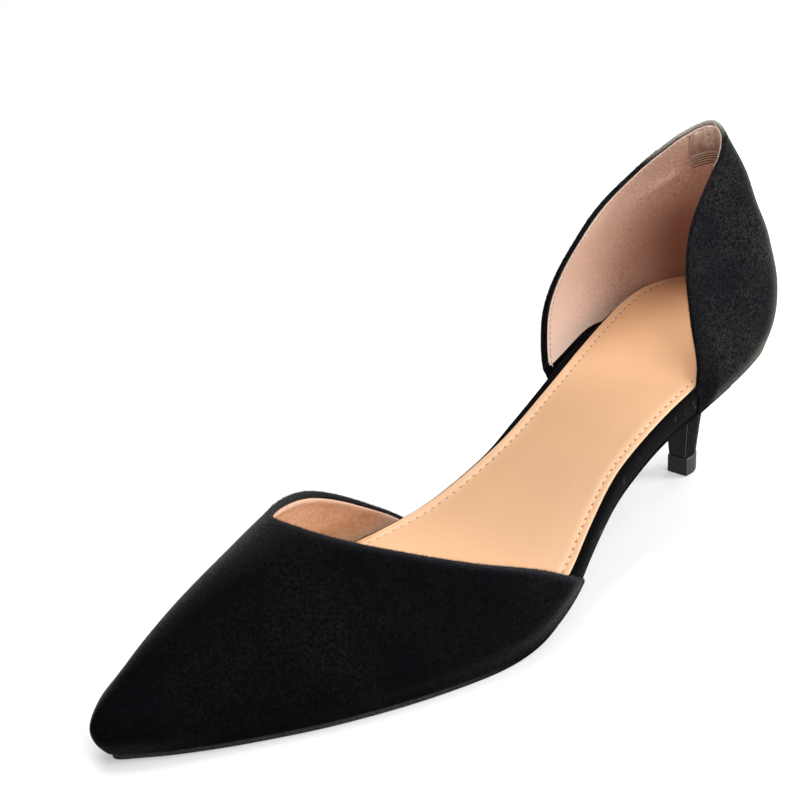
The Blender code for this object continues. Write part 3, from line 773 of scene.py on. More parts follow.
def vampGrid(inset, distance, thicken=None):
    angle = np.linspace(0.0, 180.0, vamp["across"] + 1)
    start, away = vampEdge(angle, inset, distance)
    end = last["length"] + vamp["overhang"] - inset
    share = np.sin(0.5 * math.pi * np.linspace(0.0, 1.0, vamp["along"] + 1)[:, None] ** vamp["rowEase"])
    x = start[None, :] + (end - start[None, :]) * share
    angles = np.broadcast_to(angle, x.shape)
    grid = vampAt(angles, x, inset + (thicken(angles, x - start[None, :]) if thicken else 0.0))
    grid[-1] = (grid[-1] + grid[-1][::-1]) / 2.0        # both sides meet in one line at the toe
    return grid, away, x - start[None, :]


def vampRoll(angle, behind):
    # rolled edge of the lining, with small creases where it bends down on the inner side
    aside = (angle - vamp["creaseAt"]) / vamp["creaseWidth"]
    creased = vamp["creaseDepth"] * hump(aside) * hump(behind / vamp["creaseReach"])
    folds = ripple(angle * 1.4, behind * 0.35, seed=11)
    return vamp["bead"] * hump(behind / vamp["beadReach"]) + creased * folds


outer, away, behind = vampGrid(0.0, 0.0)
inner, _, _ = vampGrid(vamp["suedeWall"], 0.0)
folded = np.exp(-behind / vamp["foldReach"])
vampSuede = wallPiece(
    "vampSuede", outer, inner, away, False, blackSuede, "black_suede", "vamp", folded, folded)
outer, away, _ = vampGrid(vamp["liningFrom"], vamp["liningBelowEdge"])
inner, _, behind = vampGrid(vamp["liningTo"], vamp["liningBelowEdge"], vampRoll)
# the mark paints a highlight on the rolled bead of the lining
rolled = hump(behind / vamp["beadReach"])
wallPiece("vampLining", outer, inner, away, False, cloth["vamp"], "tan_leather", None, 0.0, rolled)
raiseNap("vampNap", vampSuede, vamp["napSeed"])
print("vamp, its lining and nap made")


# edge of the sock, inside the edge of the insole

sock = {
    "columns": ("x", "left", "right"),
    "edge": (
        (0.0, 1.0, 1.0), (16.0, 1.0, 1.0), (28.0, 1.2, 1.5), (44.0, 1.5, 2.6), (62.0, 1.7, 3.4),
        (76.0, 2.0, 3.0), (100.0, 2.3, 2.6), (126.0, 2.3, 2.3), (142.0, 2.0, 2.0), (252.5, 2.0, 2.0),
    ),
    "thickness": 1.0, "rounding": 0.45, "toePull": 8.0, "groove": 0.2, "grooveWidth": 0.7,
    "stitchLeft": 2.1, "stitchRight": 3.1, "stitchHeel": 2.5, "stitchEase": 45.0, "stitchStart": 214.0,
    "padding": 0.3, "paddingReach": 9.0, "border": 3.2, "borderOut": 0.6,
    "stations": 280, "across": 90, "stitchSteps": 500, "soften": 3.0,
    "thread": {"pitch": 2.65, "size": (0.95, 0.28, 0.2), "place": (0.0, 0.0, 0.06), "sway": 0.09},
    "holes": {"pitch": 2.65, "size": (0.43, 0.33, 0.1), "place": (1.32, 0.0, 0.05), "sway": 0.0},
}
sockInLeft, sockInRight = [fromTable(sock, "edge", side, sock["soften"]) for side in ("left", "right")]


def sockIn(x, side):
    return np.where(np.asarray(side) > 0, sockInLeft(x), sockInRight(x))


def stitchIn(x, side):
    # how far the stitches lie inside the sock's edge
    aside = sock["stitchLeft"] if side > 0 else sock["stitchRight"]
    return sock["stitchHeel"] + (aside - sock["stitchHeel"]) * easeStep(x, 0.0, sock["stitchEase"])


# quarter

quarter = {
    "columns": ("height", "back", "corner", "side", "lean"),
    "counter": (
        (0.0, 0.6, 0.6, 0.6, 0.0),
        (7.0, 3.0, 2.9, 3.6, -0.9),
        (13.0, 2.2, 3.4, 2.6, -2.9),
        (20.0, -0.2, 3.0, 2.1, -4.0),
        (28.0, -2.4, 1.2, 0.2, -4.8),
        (36.0, -4.2, -0.9, -2.6, -4.9),
        (43.0, -6.4, -4.0, -5.5, -4.5),
        (54.0, -10.9, -7.8, -9.3, -3.6),
        (62.0, -14.6, -12.2, -13.5, -2.5),
        (72.0, -17.6, -18.0, -17.3, -1.0),
    ),
    "collar": (             # share and height
        (0.0, 68.0), (0.2, 67.6), (0.35, 66.9), (0.48, 64.9), (0.6, 61.9), (0.72, 58.2), (0.81, 53.9),
        (0.87, 49.2), (0.91, 44.0), (0.945, 36.5), (0.97, 26.5), (0.985, 16.5), (1.0, 5.0),
    ),
    "cornerShare": 0.42, "sideShare": 0.88, "backFan": 0.68, "frontLeft": 61.0, "frontRight": 68.0,
    "tuckFrom": 0.93, "tuckShare": 0.9, "tuckOut": 0.2, "tuckHeight": (9.0, 24.0),
    "suedeWall": 1.5, "outerFold": (0.8, 0.6), "innerFold": (1.0, 1.3),        # share and reach of the mark
    "liningFrom": 1.55, "liningTo": 2.0, "liningBelowEdge": 1.2, "liningFold": (0.4, 0.8),
    "bead": 0.2, "beadReach": 0.9, "meetX": (14.0, 29.0), "meetRise": 12.0, "meetPast": 0.2,
    "fold": {"depth": 0.9, "share": -0.5, "width": 0.09, "height": 48.5, "slope": 20.0, "tall": 2.2},
    "slack": 0.10, "slackBelow": (1.0, 8.0),
    "footLift": 6.3, "footX": (6.0, 48.0), "footMore": 0.30, "moreX": (40.0, 62.0), "footWall": 0.8,
    "across": 300, "up": 90, "rowEase": 1.3, "leastHeight": 0.5, "soften": 2.5, "pinchEase": 900.0,
    "edgeSteps": 1200, "napSeed": 9, "sewnShare": 0.985, "sewnHeight": 6.0,
    "stitchIn": 2.2, "outerStitchIn": 2.5,
    "thread": {"pitch": 1.9, "size": (0.62, 0.2, 0.16), "place": (0.0, 0.0, 0.03), "sway": 0.1},
    "holes": {"pitch": 1.9, "size": (0.40, 0.25, 0.08), "place": (0.95, 0.0, 0.03), "sway": 0.0},
    "outerThread": {"pitch": 2.5, "size": (0.85, 0.17, 0.14), "place": (0.0, 0.0, -0.07), "sway": 0.08},
    "lip": {"radius": 0.15, "from": 0.12, "to": 0.66, "inset": 1.85, "rise": 0.12, "steps": 60},
}
backOut, cornerOut, sideOut, sideLean = [
    fromTable(quarter, "counter", name, quarter["soften"]) for name in ("back", "corner", "side", "lean")]
collarHeight = smoothThrough(*np.array(quarter["collar"], dtype=float).T)


def quarterBase(share):
    front = np.where(share >= 0.0, turnAt(quarter["frontLeft"]), turnAt(quarter["frontRight"]))
    turn = np.abs(share) * front
    return np.where((share >= 0.0)[..., None], outlineAt(turn, 1), outlineAt(turn, -1))


def quarterOut(share, height):
    toCorner = easeStep(np.abs(share), 0.0, quarter["cornerShare"])
    toSide = easeStep(np.abs(share), quarter["cornerShare"], quarter["sideShare"])
    back, corner, side = backOut(height), cornerOut(height), sideOut(height)
    return back * (1.0 - toCorner) + corner * (toCorner - toSide) + side * toSide, toCorner, toSide


def quarterAt(share, height, inset):
    # share runs from -1 at the right front end, through 0 at the back, to 1 at the left front end
    share, height = np.broadcast_arrays(np.asarray(share, dtype=float), np.asarray(height, dtype=float))
    base = quarterBase(share)
    out, toCorner, toSide = quarterOut(share, height)
    tuck = quarter["tuckShare"] * easeStep(share, quarter["tuckFrom"], 1.0)        # left front end
    tuck = tuck * (1.0 - easeStep(height, *quarter["tuckHeight"]))
    out = out + (quarter["tuckOut"] - out) * tuck
    turned = share * (quarter["backFan"] + (1.0 - quarter["backFan"]) * toCorner)
    tangent = quarterBase(turned + 0.01) - quarterBase(turned - 0.01)
    outward = unit(np.stack((-tangent[..., 1], tangent[..., 0]), axis=-1))
    place = base + outward * (out - inset)[..., None]
    y = place[..., 1] + sideLean(height) * toSide * (1.0 - tuck)
    return np.stack((place[..., 0], y, feather(base[..., 0]) + last["seamGap"] / 2.0 + height), axis=-1)


def roundBack(steps):
    # shares that lie closer together towards both front ends
    bend = np.linspace(-1.0, 1.0, steps + 1)
    return np.sign(bend) * np.sin(np.abs(bend) * 0.5 * math.pi)


def collarEdge(inset, distance):
    # the collar line moved down the wall: shares, heights and the way out of the edge
    share = roundBack(quarter["edgeSteps"])
    height = collarHeight(np.abs(share))
    return (share, *edgeOffset(quarterAt, share, height, inset, distance, -1.0, quarter["pinchEase"]))


def quarterGrid(inset, distance, thicken=None, foot=0.0):
    share, movedShare, movedHeight, away = collarEdge(inset, distance)
    columns = roundBack(quarter["across"])
    if distance > 0.0:
        order = np.argsort(movedShare)
        movedShare, movedHeight = movedShare[order], movedHeight[order]
        ends = movedShare[movedHeight > foot + quarter["footWall"]]     # where the wall is tall enough
        columns = columns * np.where(columns < 0.0, -ends[0], movedShare[-1])
        top = np.interp(columns, movedShare, movedHeight)
    else:
        top = collarHeight(np.abs(columns))
    out = unit(np.stack([np.interp(columns, share, away[:, k]) for k in range(3)], axis=-1))
    rows = np.linspace(0.0, 1.0, quarter["up"] + 1)[:, None] ** quarter["rowEase"]
    x = quarterBase(columns)[..., 0]
    lift = foot * easeStep(x, *quarter["footX"]) * (columns < 0.0)
    lift = lift * (1.0 + quarter["footMore"] * (1.0 - easeStep(x, *quarter["moreX"])))
    below = np.maximum(top - lift, quarter["leastHeight"])[None, :] * rows
    height = np.maximum(top, quarter["leastHeight"])[None, :] - below
    shares = np.broadcast_to(columns, height.shape)
    padding = thicken(shares, height, below) if thicken else 0.0
    return quarterAt(shares, height, inset + padding), out, below


def quarterPadding(share, height, below):
    # the lining runs in to the sock at the back, has a rolled edge, and one soft fold beside the grip
    x = quarterBase(share)[..., 0]
    level = sockTop(x) - feather(x) - last["seamGap"] / 2.0
    out, _, _ = quarterOut(share, level)
    touch = np.maximum(out + sockIn(x, share) + quarter["meetPast"] - quarter["liningTo"], 0.0)
    meet = 1.0 - easeStep(x, *quarter["meetX"])
    meet = meet * (1.0 - easeStep(height, level - 1.0, level + quarter["meetRise"]))
    bead = quarter["bead"] * hump(below / quarter["beadReach"])
    fold = quarter["fold"]
    aside = share - fold["share"]
    above = height - fold["height"] - aside * fold["slope"]
    folded = fold["depth"] * hump(above / fold["tall"]) * hump(aside / fold["width"])
    slack = quarter["slack"] * ripple(share * 18.0, height * 0.22, seed=4)
    return touch * meet + bead + folded + slack * easeStep(below, *quarter["slackBelow"])


def linePath(shares, heights, inset, side):
    # a line on the quarter's wall, with the way up from it: side is 1 inside the shoe and -1 outside
    aside, above = 0.005, 0.3
    byShare = quarterAt(shares + aside, heights, inset) - quarterAt(shares - aside, heights, inset)
    byHeight = quarterAt(shares, heights + above, inset) - quarterAt(shares, heights - above, inset)
    return quarterAt(shares, heights, inset), unit(np.cross(byShare, byHeight)) * side


outer, away, below = quarterGrid(0.0, 0.0)
inner, _, _ = quarterGrid(quarter["suedeWall"], 0.0)
# the marks thicken the nap near the collar edge and carry its painted rim highlight near the peak
marks = [share * np.exp(-below / reach) for share, reach in (quarter["outerFold"], quarter["innerFold"])]
quarterSuede = wallPiece(
    "quarterSuede", outer, inner, away, True, litSuede, "black_suede", "quarter", *marks)
edge, foot = quarter["liningBelowEdge"], quarter["footLift"]
outer, away, _ = quarterGrid(quarter["liningFrom"], edge, None, foot)
inner, _, below = quarterGrid(quarter["liningTo"], edge, quarterPadding, foot)
# the mark paints a highlight on the lining's rolled edge
rolled = quarter["liningFold"][0] * hump(below / quarter["liningFold"][1])
wallPiece("quarterLining", outer, inner, away, True, cloth["quarter"], "tan_leather", None, 0.0, rolled)
raiseNap("quarterNap", quarterSuede, quarter["napSeed"])

# rows of thread along the collar, inside on the lining and outside on the suede
inside = (quarter["liningTo"], 1, quarter["stitchIn"], "tan_leather")
outside = (0.0, -1, quarter["outerStitchIn"], "black_suede")
for name, (inset, side, rowIn, slotName), look, material in (
        ("collarThread", inside, quarter["thread"], yarn["liningYarn"]),
        ("collarHoles", inside, quarter["holes"], yarn["holeShade"]),
        ("collarThreadOutside", outside, quarter["outerThread"], yarn["blackYarn"])):
    _, shares, heights, _ = collarEdge(inset, rowIn)
    kept = (np.abs(shares) < quarter["sewnShare"]) & (heights > quarter["sewnHeight"])
    sewRow(name, [linePath(shares[kept], heights[kept], inset, side)], look, material)
lip = quarter["lip"]
shares = np.linspace(lip["from"], lip["to"], lip["steps"])
lipPath = linePath(shares, collarHeight(shares) + lip["rise"], lip["inset"], 1)
layCords("collarLip", [lipPath], lip["radius"], cloth["lip"])
print("quarter, its lining, nap and stitches made")


# grip patch inside the top of the back, with an elastic tape of five ribs below it

grip = {
    "columns": ("height", "share"),
    "edge": ((53.0, 0.345), (60.3, 0.41), (66.5, 0.45), (72.0, 0.47)), "soften": 1.0,
    "bottomMiddle": 58.8, "bottomEnd": 56.4, "middleHeight": 64.0, "belowEdge": 1.5,
    "inset": 2.15, "backInset": 1.9, "thickness": 0.55, "least": 0.1, "edgeShare": 0.125, "wrinkle": 0.85,
    "creaseAt": 0.11, "creaseHeight": 62.0, "creaseLean": 0.012, "creaseWidth": 0.03, "creaseDepth": 0.8,
    "across": 90, "up": 48,
    "ribs": 5, "ribPitch": 0.86, "ribRadius": 0.27, "gapRadius": 0.22, "ribTop": 58.3, "ribDip": 2.5,
    "ribSteps": 40, "ribEndIn": 0.008, "cordProud": 0.6, "ribProud": 0.45, "gapProud": 0.2,
}
gripShare = fromTable(grip, "edge", "share", grip["soften"])


def gripGrid(inset, wrinkled):
    spots = np.linspace(-1.0, 1.0, grip["across"] + 1)[None, :]
    rows = np.linspace(1.0, 0.0, grip["up"] + 1)[:, None]
    _, movedShare, movedHeight, _ = collarEdge(inset, grip["belowEdge"])
    order = np.argsort(movedShare)
    bottom = grip["bottomMiddle"] - (grip["bottomMiddle"] - grip["bottomEnd"]) * spots ** 2
    height = grip["middleHeight"]
    for _ in range(3):          # its sides depend on the height and its height on the sides
        shares = spots * gripShare(height)
        top = np.interp(shares, movedShare[order], movedHeight[order])
        height = bottom + (top - bottom) * rows
    inside = np.minimum(1.0 - np.abs(spots), np.minimum(rows, 1.0 - rows))
    edge = np.minimum(1.0, inside / grip["edgeShare"])
    folds = 0.6 * ripple(shares * 34.0, height * 0.42, seed=21)
    folds = folds + 0.4 * ripple(shares * 14.0, height * 1.3, seed=23)
    lean = (height - grip["creaseHeight"]) * grip["creaseLean"]
    crease = hump((shares - grip["creaseAt"] - lean) / grip["creaseWidth"])
    wrinkles = (grip["wrinkle"] * folds - grip["creaseDepth"] * crease) * edge
    swell = wrinkled * (grip["thickness"] * np.sqrt(edge) + wrinkles)
    # the mark paints light on the upper part and on the fold ridges, and shade in the crease
    mark = (0.9 * rows - 0.05 + 0.35 * folds - 0.5 * crease) * edge
    return quarterAt(shares, height, inset + np.maximum(swell, grip["least"])), mark


bm = bmesh.new()
front = addGrid(bm, *gripGrid(grip["inset"], 1.0))
back = addGrid(bm, gripGrid(grip["backInset"], 0.0)[0])
skinGrid(bm, front)
skinGrid(bm, back)
ring = [(0, c) for c in range(grip["across"])] + [(r, -1) for r in range(grip["up"])]
ring += [(-1, c) for c in range(grip["across"], 0, -1)] + [(r, 0) for r in range(grip["up"], 0, -1)]
for (row, column), (rowOn, columnOn) in zip(ring, ring[1:] + ring[:1]):
    bm.faces.new((front[row][column], front[rowOn][columnOn], back[rowOn][columnOn], back[row][column]))
finishMesh(bm, "gripPatch", cloth["grip"])


def ribPath(k, proud):
    # one cord of the gathered elastic, k pitches below the first
    spots = np.linspace(-1.0, 1.0, grip["ribSteps"])
    heights = grip["ribTop"] - grip["ribPitch"] * k - grip["ribDip"] * spots ** 2
    return linePath(spots * (gripShare(heights) - grip["ribEndIn"]), heights, grip["inset"] + proud, 1)


ribPaths = [ribPath(k, grip["ribProud"]) for k in range(1, grip["ribs"])]
# dark cords between the ribs stand for painted shade in the gaps
gapPaths = [ribPath(k + 0.5, grip["gapProud"]) for k in range(grip["ribs"])]
layCords("gripEdgeCord", [ribPath(0, grip["cordProud"])], grip["ribRadius"], cloth["lip"])
layCords("gripElastic", ribPaths, grip["ribRadius"], cloth["elastic"])
layCords("gripGaps", gapPaths, grip["gapRadius"], yarn["gapShade"])
print("grip patch and elastic made")


# flat pieces along the last

def plateGrid(start, end, insetAt, topAt, bottomAt, look, relief, edgeMark):
    # closed sections: over the top from left to right, round the right edge, back underneath and up
    roundness, stations, across = look["rounding"], look["stations"], look["across"]
    turn = np.linspace(float(turnAt(start)), float(turnAt(end)), stations + 1)
    x = xAt(turn)
    plain = np.zeros_like(x)
    underSteps, roundSteps = 8, 12
    columns, marks = [], []

    def edgeAt(side, extra):
        return insetOutline(turn, side, insetAt(x, side) + extra)

    left, right = edgeAt(1, roundness), edgeAt(-1, roundness)
    width = np.linalg.norm(left - right, axis=-1)
    for f in 0.5 - 0.5 * np.cos(math.pi * np.linspace(0.0, 1.0, across + 1)):
        spot = left + (right - left) * f
        nearest = (min(f, 1.0 - f) * width + roundness, 1 if f < 0.5 else -1, x)
        reliefAndPaintedTopLight, mark = relief(*nearest) if relief else (plain, plain)
        columns.append(np.column_stack((spot, topAt(spot[:, 0]) + reliefAndPaintedTopLight)))
        marks.append(mark)
    for side in (-1, 1):
        if side > 0:
            for f in np.linspace(1.0, 0.0, underSteps + 1):
                spot = left + (right - left) * f
                columns.append(np.column_stack((spot, bottomAt(spot[:, 0]))))
                marks.append(plain)
        for t in np.linspace(0.0, math.pi, roundSteps + 1)[1:-1][::-side]:
            spot = edgeAt(side, roundness * (1.0 - math.sin(t)))
            upper, lower = topAt(spot[:, 0]) - roundness, bottomAt(spot[:, 0]) + roundness
            level = (upper if t < math.pi / 2.0 else lower) + roundness * math.cos(t)
            if abs(t - math.pi / 2.0) < 0.01:
                level = (upper + lower) / 2.0
            columns.append(np.column_stack((spot, level)))
            marks.append(plain + edgeMark(t, x))
    return np.stack(columns, axis=1), np.stack(marks, axis=1)


def platePiece(name, plate, closeStart, closeEnd, material, stands):
    bm = bmesh.new()
    corners = addGrid(bm, *plate)
    skinGrid(bm, corners, wrap=True)
    if closeStart:
        bm.faces.new(corners[0])
    if closeEnd:
        bm.faces.new(corners[-1])
    return finishMesh(bm, name, material, stands, sharp=60.0)


def sockRelief(fromEdge, side, x):
    # pulled down along the stitches, slightly padded between them
    inside = fromEdge - stitchIn(x, side)
    pull = hump(inside / sock["grooveWidth"])
    rise = sock["padding"] * np.clip(inside / sock["paddingReach"], 0.0, 1.0)
    border = 1.0 - np.clip((inside + sock["borderOut"]) / sock["border"], 0.0, 1.0)
    return rise - sock["groove"] * pull, border


plateEnd = last["length"] - sock["toePull"]
plate = plateGrid(0.0, plateEnd, sockIn, sockTop, lambda x: sockTop(x) - sock["thickness"],
                  sock, sockRelief, lambda t, x: 1.0)
platePiece("sockCover", plate, False, True, tanSock, "sock")


def sockLine():
    # from the left forefoot round the heel to the right forefoot
    turns = np.linspace(float(turnAt(sock["stitchStart"])), 0.0, sock["stitchSteps"])
    x = xAt(turns)
    halves = []
    for side in (1, -1):
        spot = insetOutline(turns, side, sockIn(x, side) + stitchIn(x, side))
        halves.append(np.column_stack((spot, sockTop(spot[:, 0]) - sock["groove"])))
    line = np.concatenate((halves[0], halves[1][-2::-1]))
    slope = sockTop(line[:, 0] + 0.5) - sockTop(line[:, 0] - 0.5)
    return line, unit(np.column_stack((-slope, np.zeros(len(line)), np.ones(len(line)))))


for name, look, material in (
        ("sockThread", sock["thread"], yarn["sockThreadYarn"]),
        ("sockHoles", sock["holes"], yarn["holeShade"])):
    sewRow(name, [sockLine()], look, material)

insole = {
    "insetCovered": 0.9, "underQuarter": (14.0, 4.0), "underVamp": (1.0, 10.0), "rounding": 1.3, "rim": 0.8,
    "waistIn": 1.1, "waistFrom": (92.0, 108.0), "waistTo": (128.0, 142.0), "coveredLift": 0.45,
    "rimSlope": 0.4, "rubbedAndGlintTurn": 0.2, "stations": 260, "across": 70,
}


def insoleIn(x, side):
    # a little narrower where quarter and vamp cover it, and in the waist on the inner side
    quarterEnd = quarter["frontLeft"] if side > 0 else quarter["frontRight"]
    vampEnd = float(toplineX(0.0 if side > 0 else 180.0))
    back = 1.0 - easeStep(x, quarterEnd - insole["underQuarter"][0], quarterEnd - insole["underQuarter"][1])
    front = easeStep(x, vampEnd + insole["underVamp"][0], vampEnd + insole["underVamp"][1])
    waist = easeStep(x, *insole["waistFrom"]) * (1.0 - easeStep(x, *insole["waistTo"]))
    covered = insole["insetCovered"] * np.maximum(back, front)
    return covered + (insole["waistIn"] * waist if side < 0 else 0.0)


def insoleLift(x):
    # its rim comes up beside the sock under the vamp
    return insole["coveredLift"] * easeStep(x, *insole["waistTo"])


def insoleRelief(fromEdge, side, x):
    # its wrapped rim stands up around the sock
    gap = sockIn(x, side) - insoleIn(x, side)
    depth = insole["rim"] + insoleLift(x)
    return -depth * np.clip((fromEdge - gap) / insole["rimSlope"], 0.0, 1.0), 0.0 * x


insoleTop = insole["rim"] - sock["thickness"] - last["seamGap"]
# the mark places the rubbed spots and their painted glints along the middle of the side
plate = plateGrid(0.0, plateEnd, insoleIn, lambda x: sockTop(x) + insoleTop + insoleLift(x),
                  lambda x: feather(x) + last["seamGap"] / 2.0, insole, insoleRelief,
                  lambda t, x: hump((t - math.pi / 2.0) / insole["rubbedAndGlintTurn"]))
platePiece("insoleWrap", plate, False, True, wrapBlack, "insole")

outsole = {
    "thickness": 2.35, "rounding": 0.55, "insetFore": 0.7, "insetWaist": 1.2, "waistX": (120.0, 150.0),
    "cornerTurn": 2.36, "cornerWide": 0.16, "cornerFade": 0.8, "cornerX": (46.0, 66.0),
    "edgeTurn": 1.57, "edgeWide": 0.5, "edgeShare": 0.6, "edgeX": (150.0, 190.0),
    "start": 40.3, "stations": 260, "across": 16,
}


def outsoleIn(x, side):
    waist = 1.0 - easeStep(x, *outsole["waistX"])
    return outsole["insetFore"] + (outsole["insetWaist"] - outsole["insetFore"]) * waist


def outsoleTop(x):
    return feather(x) - last["seamGap"] / 2.0


def outsoleMark(t, x):
    # painted highlight along its lower corner by the heel, and on the whole edge round the forefoot
    corner = hump((t - outsole["cornerTurn"]) / outsole["cornerWide"])
    corner = corner * (1.0 - outsole["cornerFade"] * easeStep(x, *outsole["cornerX"]))
    edge = outsole["edgeShare"] * hump((t - outsole["edgeTurn"]) / outsole["edgeWide"])
    return corner + edge * easeStep(x, *outsole["edgeX"])


plate = plateGrid(outsole["start"], last["length"], outsoleIn, outsoleTop,
                  lambda x: outsoleTop(x) - outsole["thickness"], outsole, None, outsoleMark)
platePiece("outsoleBody", plate, True, False, satin["soleEdgePaint"], "outsole")
print("sock, insole and outsole made")


# heel

heel = {
    "columns": ("z", "front", "back", "centre", "breastHalf", "bodyHalf", "seat"),
    "levels": (
        (6.7, 30.5, 21.6, -0.1, 3.4, 3.8, 0.0),
        (14.0, 30.9, 20.4, -0.2, 4.0, 4.6, 0.0),
        (21.0, 31.3, 19.5, -0.2, 4.6, 5.6, 0.0),
        (27.0, 32.1, 18.3, 0.0, 5.6, 7.4, 0.0),
        (32.0, 33.8, 15.0, 0.4, 7.6, 10.2, 0.1),
        (37.0, 36.0, 10.2, 0.9, 11.5, 14.6, 0.35),
        (42.0, 38.4, 5.2, 1.3, 17.5, 20.2, 0.7),
        (47.2, 40.0, 0.6, 1.7, 24.6, 25.2, 1.0),
    ),
    "seatLength": 40.0, "seatCentre": 1.7, "breastEase": 0.45, "around": 120, "up": 90, "soften": 1.2,
    "tipHeight": 6.4, "tipEdge": 0.3, "tipBevel": 0.4, "tipAround": 64, "tipMark": 0.6, "bevelSteps": 5,
    "flapThickness": 0.55, "flapSink": 0.15, "flapInset": 0.2, "flapBevel": 0.22, "flapFoot": 0.15,
    "flapTop": 43.5, "flapRows": 60, "flapSteps": 4, "flapSharp": 60.0,
}
heelCurves = {name: fromTable(heel, "levels", name, heel["soften"]) for name in heel["columns"][1:]}


def heelRing(level, z=None, grow=0.0, around=None):
    # flat breast in front, the seat's own round outline behind
    size = {name: float(curve(level)) for name, curve in heelCurves.items()}
    spreadOut = np.linspace(-1.0, 1.0, (around or heel["around"]) + 1)
    end = float(turnAt(heel["seatLength"]))
    isLeft = spreadOut < 0.0
    turn = end * np.abs(spreadOut)
    spot = np.where(isLeft[:, None], outlineAt(turn, 1), outlineAt(turn, -1))
    widest = np.where(isLeft, outlineAt(end, 1)[1], outlineAt(end, -1)[1]) - heel["seatCentre"]
    share = spot[:, 0] / heel["seatLength"]
    bodyHalf, breastHalf = size["bodyHalf"] + grow, size["breastHalf"] + grow
    half = bodyHalf + (breastHalf - bodyHalf) * easeStep(share, heel["breastEase"], 1.0)
    back, front = size["back"] - grow, size["front"] + grow
    x = back + (front - back) * share
    y = size["centre"] + (spot[:, 1] - heel["seatCentre"]) / np.abs(widest) * half
    slope = feather(spot[:, 0]) - feather(0.0)
    return np.column_stack((x, y, (level if z is None else z) + slope * size["seat"]))


def loftPiece(name, rings, material, stands=None, mark=0.0, sharp=40.0):
    bm = bmesh.new()
    corners = addGrid(bm, np.stack(rings), mark)
    skinGrid(bm, corners, wrap=True)
    bm.faces.new(corners[0])
    bm.faces.new(corners[-1])
    return finishMesh(bm, name, material, stands, sharp)


heelLow, heelHigh = heel["levels"][0][0], heel["levels"][-1][0]
heelRings = [heelRing(z) for z in np.linspace(heelLow, heelHigh, heel["up"] + 1)]
loftPiece("heelCover", heelRings, litSuede, "heel")

# the mark paints a highlight along the middle of each bevel of the tip
tipRings, tipMarks = [], []
for isTop in (False, True):
    for t in np.linspace(0.0, math.pi / 2.0, heel["bevelSteps"] + 1)[::-1 if isTop else 1]:
        z = heel["tipBevel"] * (1.0 - math.cos(t))
        grow = heel["tipEdge"] - heel["tipBevel"] * (1.0 - math.sin(t))
        tipRings.append(heelRing(heelLow, heel["tipHeight"] - z if isTop else z, grow, heel["tipAround"]))
        tipMarks.append([heel["tipMark"] * math.sin(2.0 * t)])
loftPiece("heelTip", tipRings, satin["heelTipRubber"], "top_piece", np.array(tipMarks))

# thin cover on the breast, cut a little narrower than the heel, with bevelled sides that catch the light
# and a painted highlight along them
flapRings, flapMarks = [], []
for level in np.linspace(heelLow + heel["flapFoot"], heel["flapTop"], heel["flapRows"]):
    ends = heelRing(level, around=8)[[0, -1]]
    half = abs(ends[0, 1] - ends[1, 1]) / 2.0 - heel["flapInset"]
    x, y, z = ends.mean(axis=0)
    front, bevel = x + heel["flapThickness"], heel["flapBevel"]
    section = [(x - heel["flapSink"], half, 0.0)]
    for t in np.linspace(0.0, math.pi / 2.0, heel["flapSteps"] + 1):
        inFront, inSide = bevel * (1.0 - math.sin(t)), bevel * (1.0 - math.cos(t))
        section.append((front - inFront, half - inSide, math.sin(2.0 * t)))
    section += [(across, -width, mark) for across, width, mark in section[::-1]]
    flapRings.append([(across, y + width, z) for across, width, mark in section])
    flapMarks.append([mark for across, width, mark in section])
loftPiece(
    "breastFlap", flapRings, satin["breastCover"], None, np.array(flapMarks), heel["flapSharp"])
print("heel made")


# camera and light

cameraSpot = {
    "target": (128.5, 0.0, 30.0), "azimuth": 133.85, "elevation": 22.45, "roll": -2.67, "distance": 447.0,
    "slide": (24.51, -26.95), "lens": 70.86, "sensor": 36.0, "clipStart": 0.01,
}


def placeCamera(spot):
    azimuth, elevation, roll = (math.radians(spot[key]) for key in ("azimuth", "elevation", "roll"))
    level = math.cos(elevation)
    back = Vector((math.sin(azimuth) * level, -math.cos(azimuth) * level, math.sin(elevation)))
    right = Vector((0.0, 0.0, 1.0)).cross(back).normalized()
    up = back.cross(right)
    rolledRight = right * math.cos(roll) + up * math.sin(roll)
    rolledUp = up * math.cos(roll) - right * math.sin(roll)
    target = (Vector(spot["target"]) + Vector(shift)) * mm
    aside = rolledRight * spot["slide"][0] + rolledUp * spot["slide"][1]
    eye = target + (back * spot["distance"] - aside) * mm
    lens = bpy.data.cameras.new("photoCamera")
    lens.lens = spot["lens"]
    lens.sensor_width = spot["sensor"]
    lens.clip_start = spot["clipStart"]
    camera = bpy.data.objects.new("photoCamera", lens)
    turn = Matrix((rolledRight, rolledUp, back)).transposed().to_4x4()
    camera.matrix_world = Matrix.Translation(eye) @ turn
    bpy.context.scene.collection.objects.link(camera)
    bpy.context.scene.camera = camera


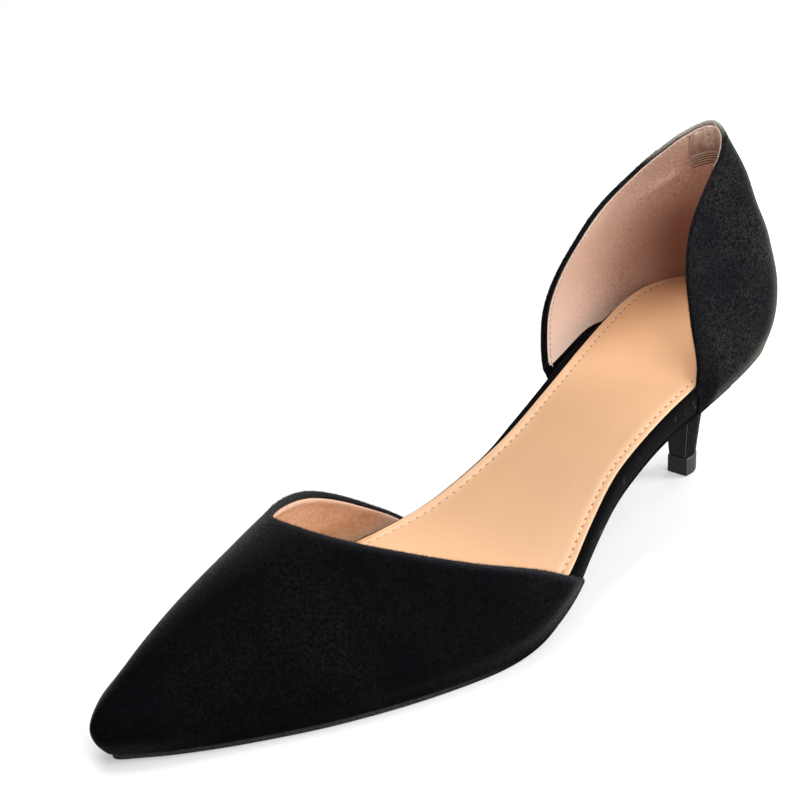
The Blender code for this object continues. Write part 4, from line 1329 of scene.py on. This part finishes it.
studio = {
    "sky": 0.2, "horizon": 1.0, "horizonTop": 0.12,
    "floor": {"Base Color": (0.5, 0.5, 0.5), "Roughness": 0.9, "Specular IOR Level": 0.1,
              "Emission Strength": 1.0},
    "floorHalf": 1.1, "floorDrop": 0.0002, "floorGlow": (0.40, 0.95), "glowReach": (0.22, 0.6),
    "softboxes": (
        {"name": "top", "at": (0.06, -0.18, 1.15), "aim": (-0.05, 0.0, 0.03), "size": 0.6, "watts": 10.0},
        {"name": "front", "at": (0.2, 0.75, 0.9), "aim": (-0.05, 0.0, 0.05), "size": 0.7, "watts": 10.0},
        {"name": "low", "at": (-0.9, 0.8, 0.38), "aim": (-0.1, 0.0, 0.06), "size": 0.7, "watts": 24.0},
        {"name": "back", "at": (-1.0, -0.3, 0.8), "aim": (-0.09, 0.0, 0.09), "size": 0.8, "watts": 7.0},
    ),
}


def lightStudio(look):
    world = bpy.data.worlds.new("studioSky")
    world.use_nodes = True
    sky = world.node_tree.nodes["Background"]
    sky.inputs["Color"].default_value = (1.0, 1.0, 1.0, 1.0)
    wire = Wire(world.node_tree)
    way = wire.add("ShaderNodeTexCoord", None, "Generated")
    rise = wire.add("ShaderNodeSeparateXYZ", {0: way}, "Z").between(0.0, look["horizonTop"])
    (look["horizon"] + rise * (look["sky"] - look["horizon"])).into(sky.inputs["Strength"])
    bpy.context.scene.world = world
    for box in look["softboxes"]:
        name = box["name"] + "Softbox"
        lamp = bpy.data.lights.new(name, "AREA")
        lamp.shape = "SQUARE"
        lamp.size = box["size"]
        lamp.energy = box["watts"]
        holder = bpy.data.objects.new(name, lamp)
        holder.location = box["at"]
        holder.rotation_euler = (Vector(box["at"]) - Vector(box["aim"])).to_track_quat("Z", "Y").to_euler()
        bpy.context.scene.collection.objects.link(holder)
    material, wire = newFinish("paleFloor")
    reach = wire.add("ShaderNodeVectorMath", {0: wire.place()}, 1, {"operation": "LENGTH"})
    near, far = [(value, value, value) for value in look["floorGlow"]]
    glow = wire.layered(near, (reach.between(*look["glowReach"]), far))
    setShader(material, {**look["floor"], "Emission Color": glow})
    bm = bmesh.new()
    bmesh.ops.create_grid(bm, x_segments=1, y_segments=1, size=look["floorHalf"])
    mesh = bpy.data.meshes.new("studioFloor")
    bm.to_mesh(mesh)
    bm.free()
    mesh.materials.append(material)
    floor = bpy.data.objects.new("studioFloor", mesh)
    floor.location.z = -look["floorDrop"]
    bpy.context.scene.collection.objects.link(floor)
    bpy.context.scene.view_settings.view_transform = "Standard"


placeCamera(cameraSpot)
lightStudio(studio)
print("camera and light placed")
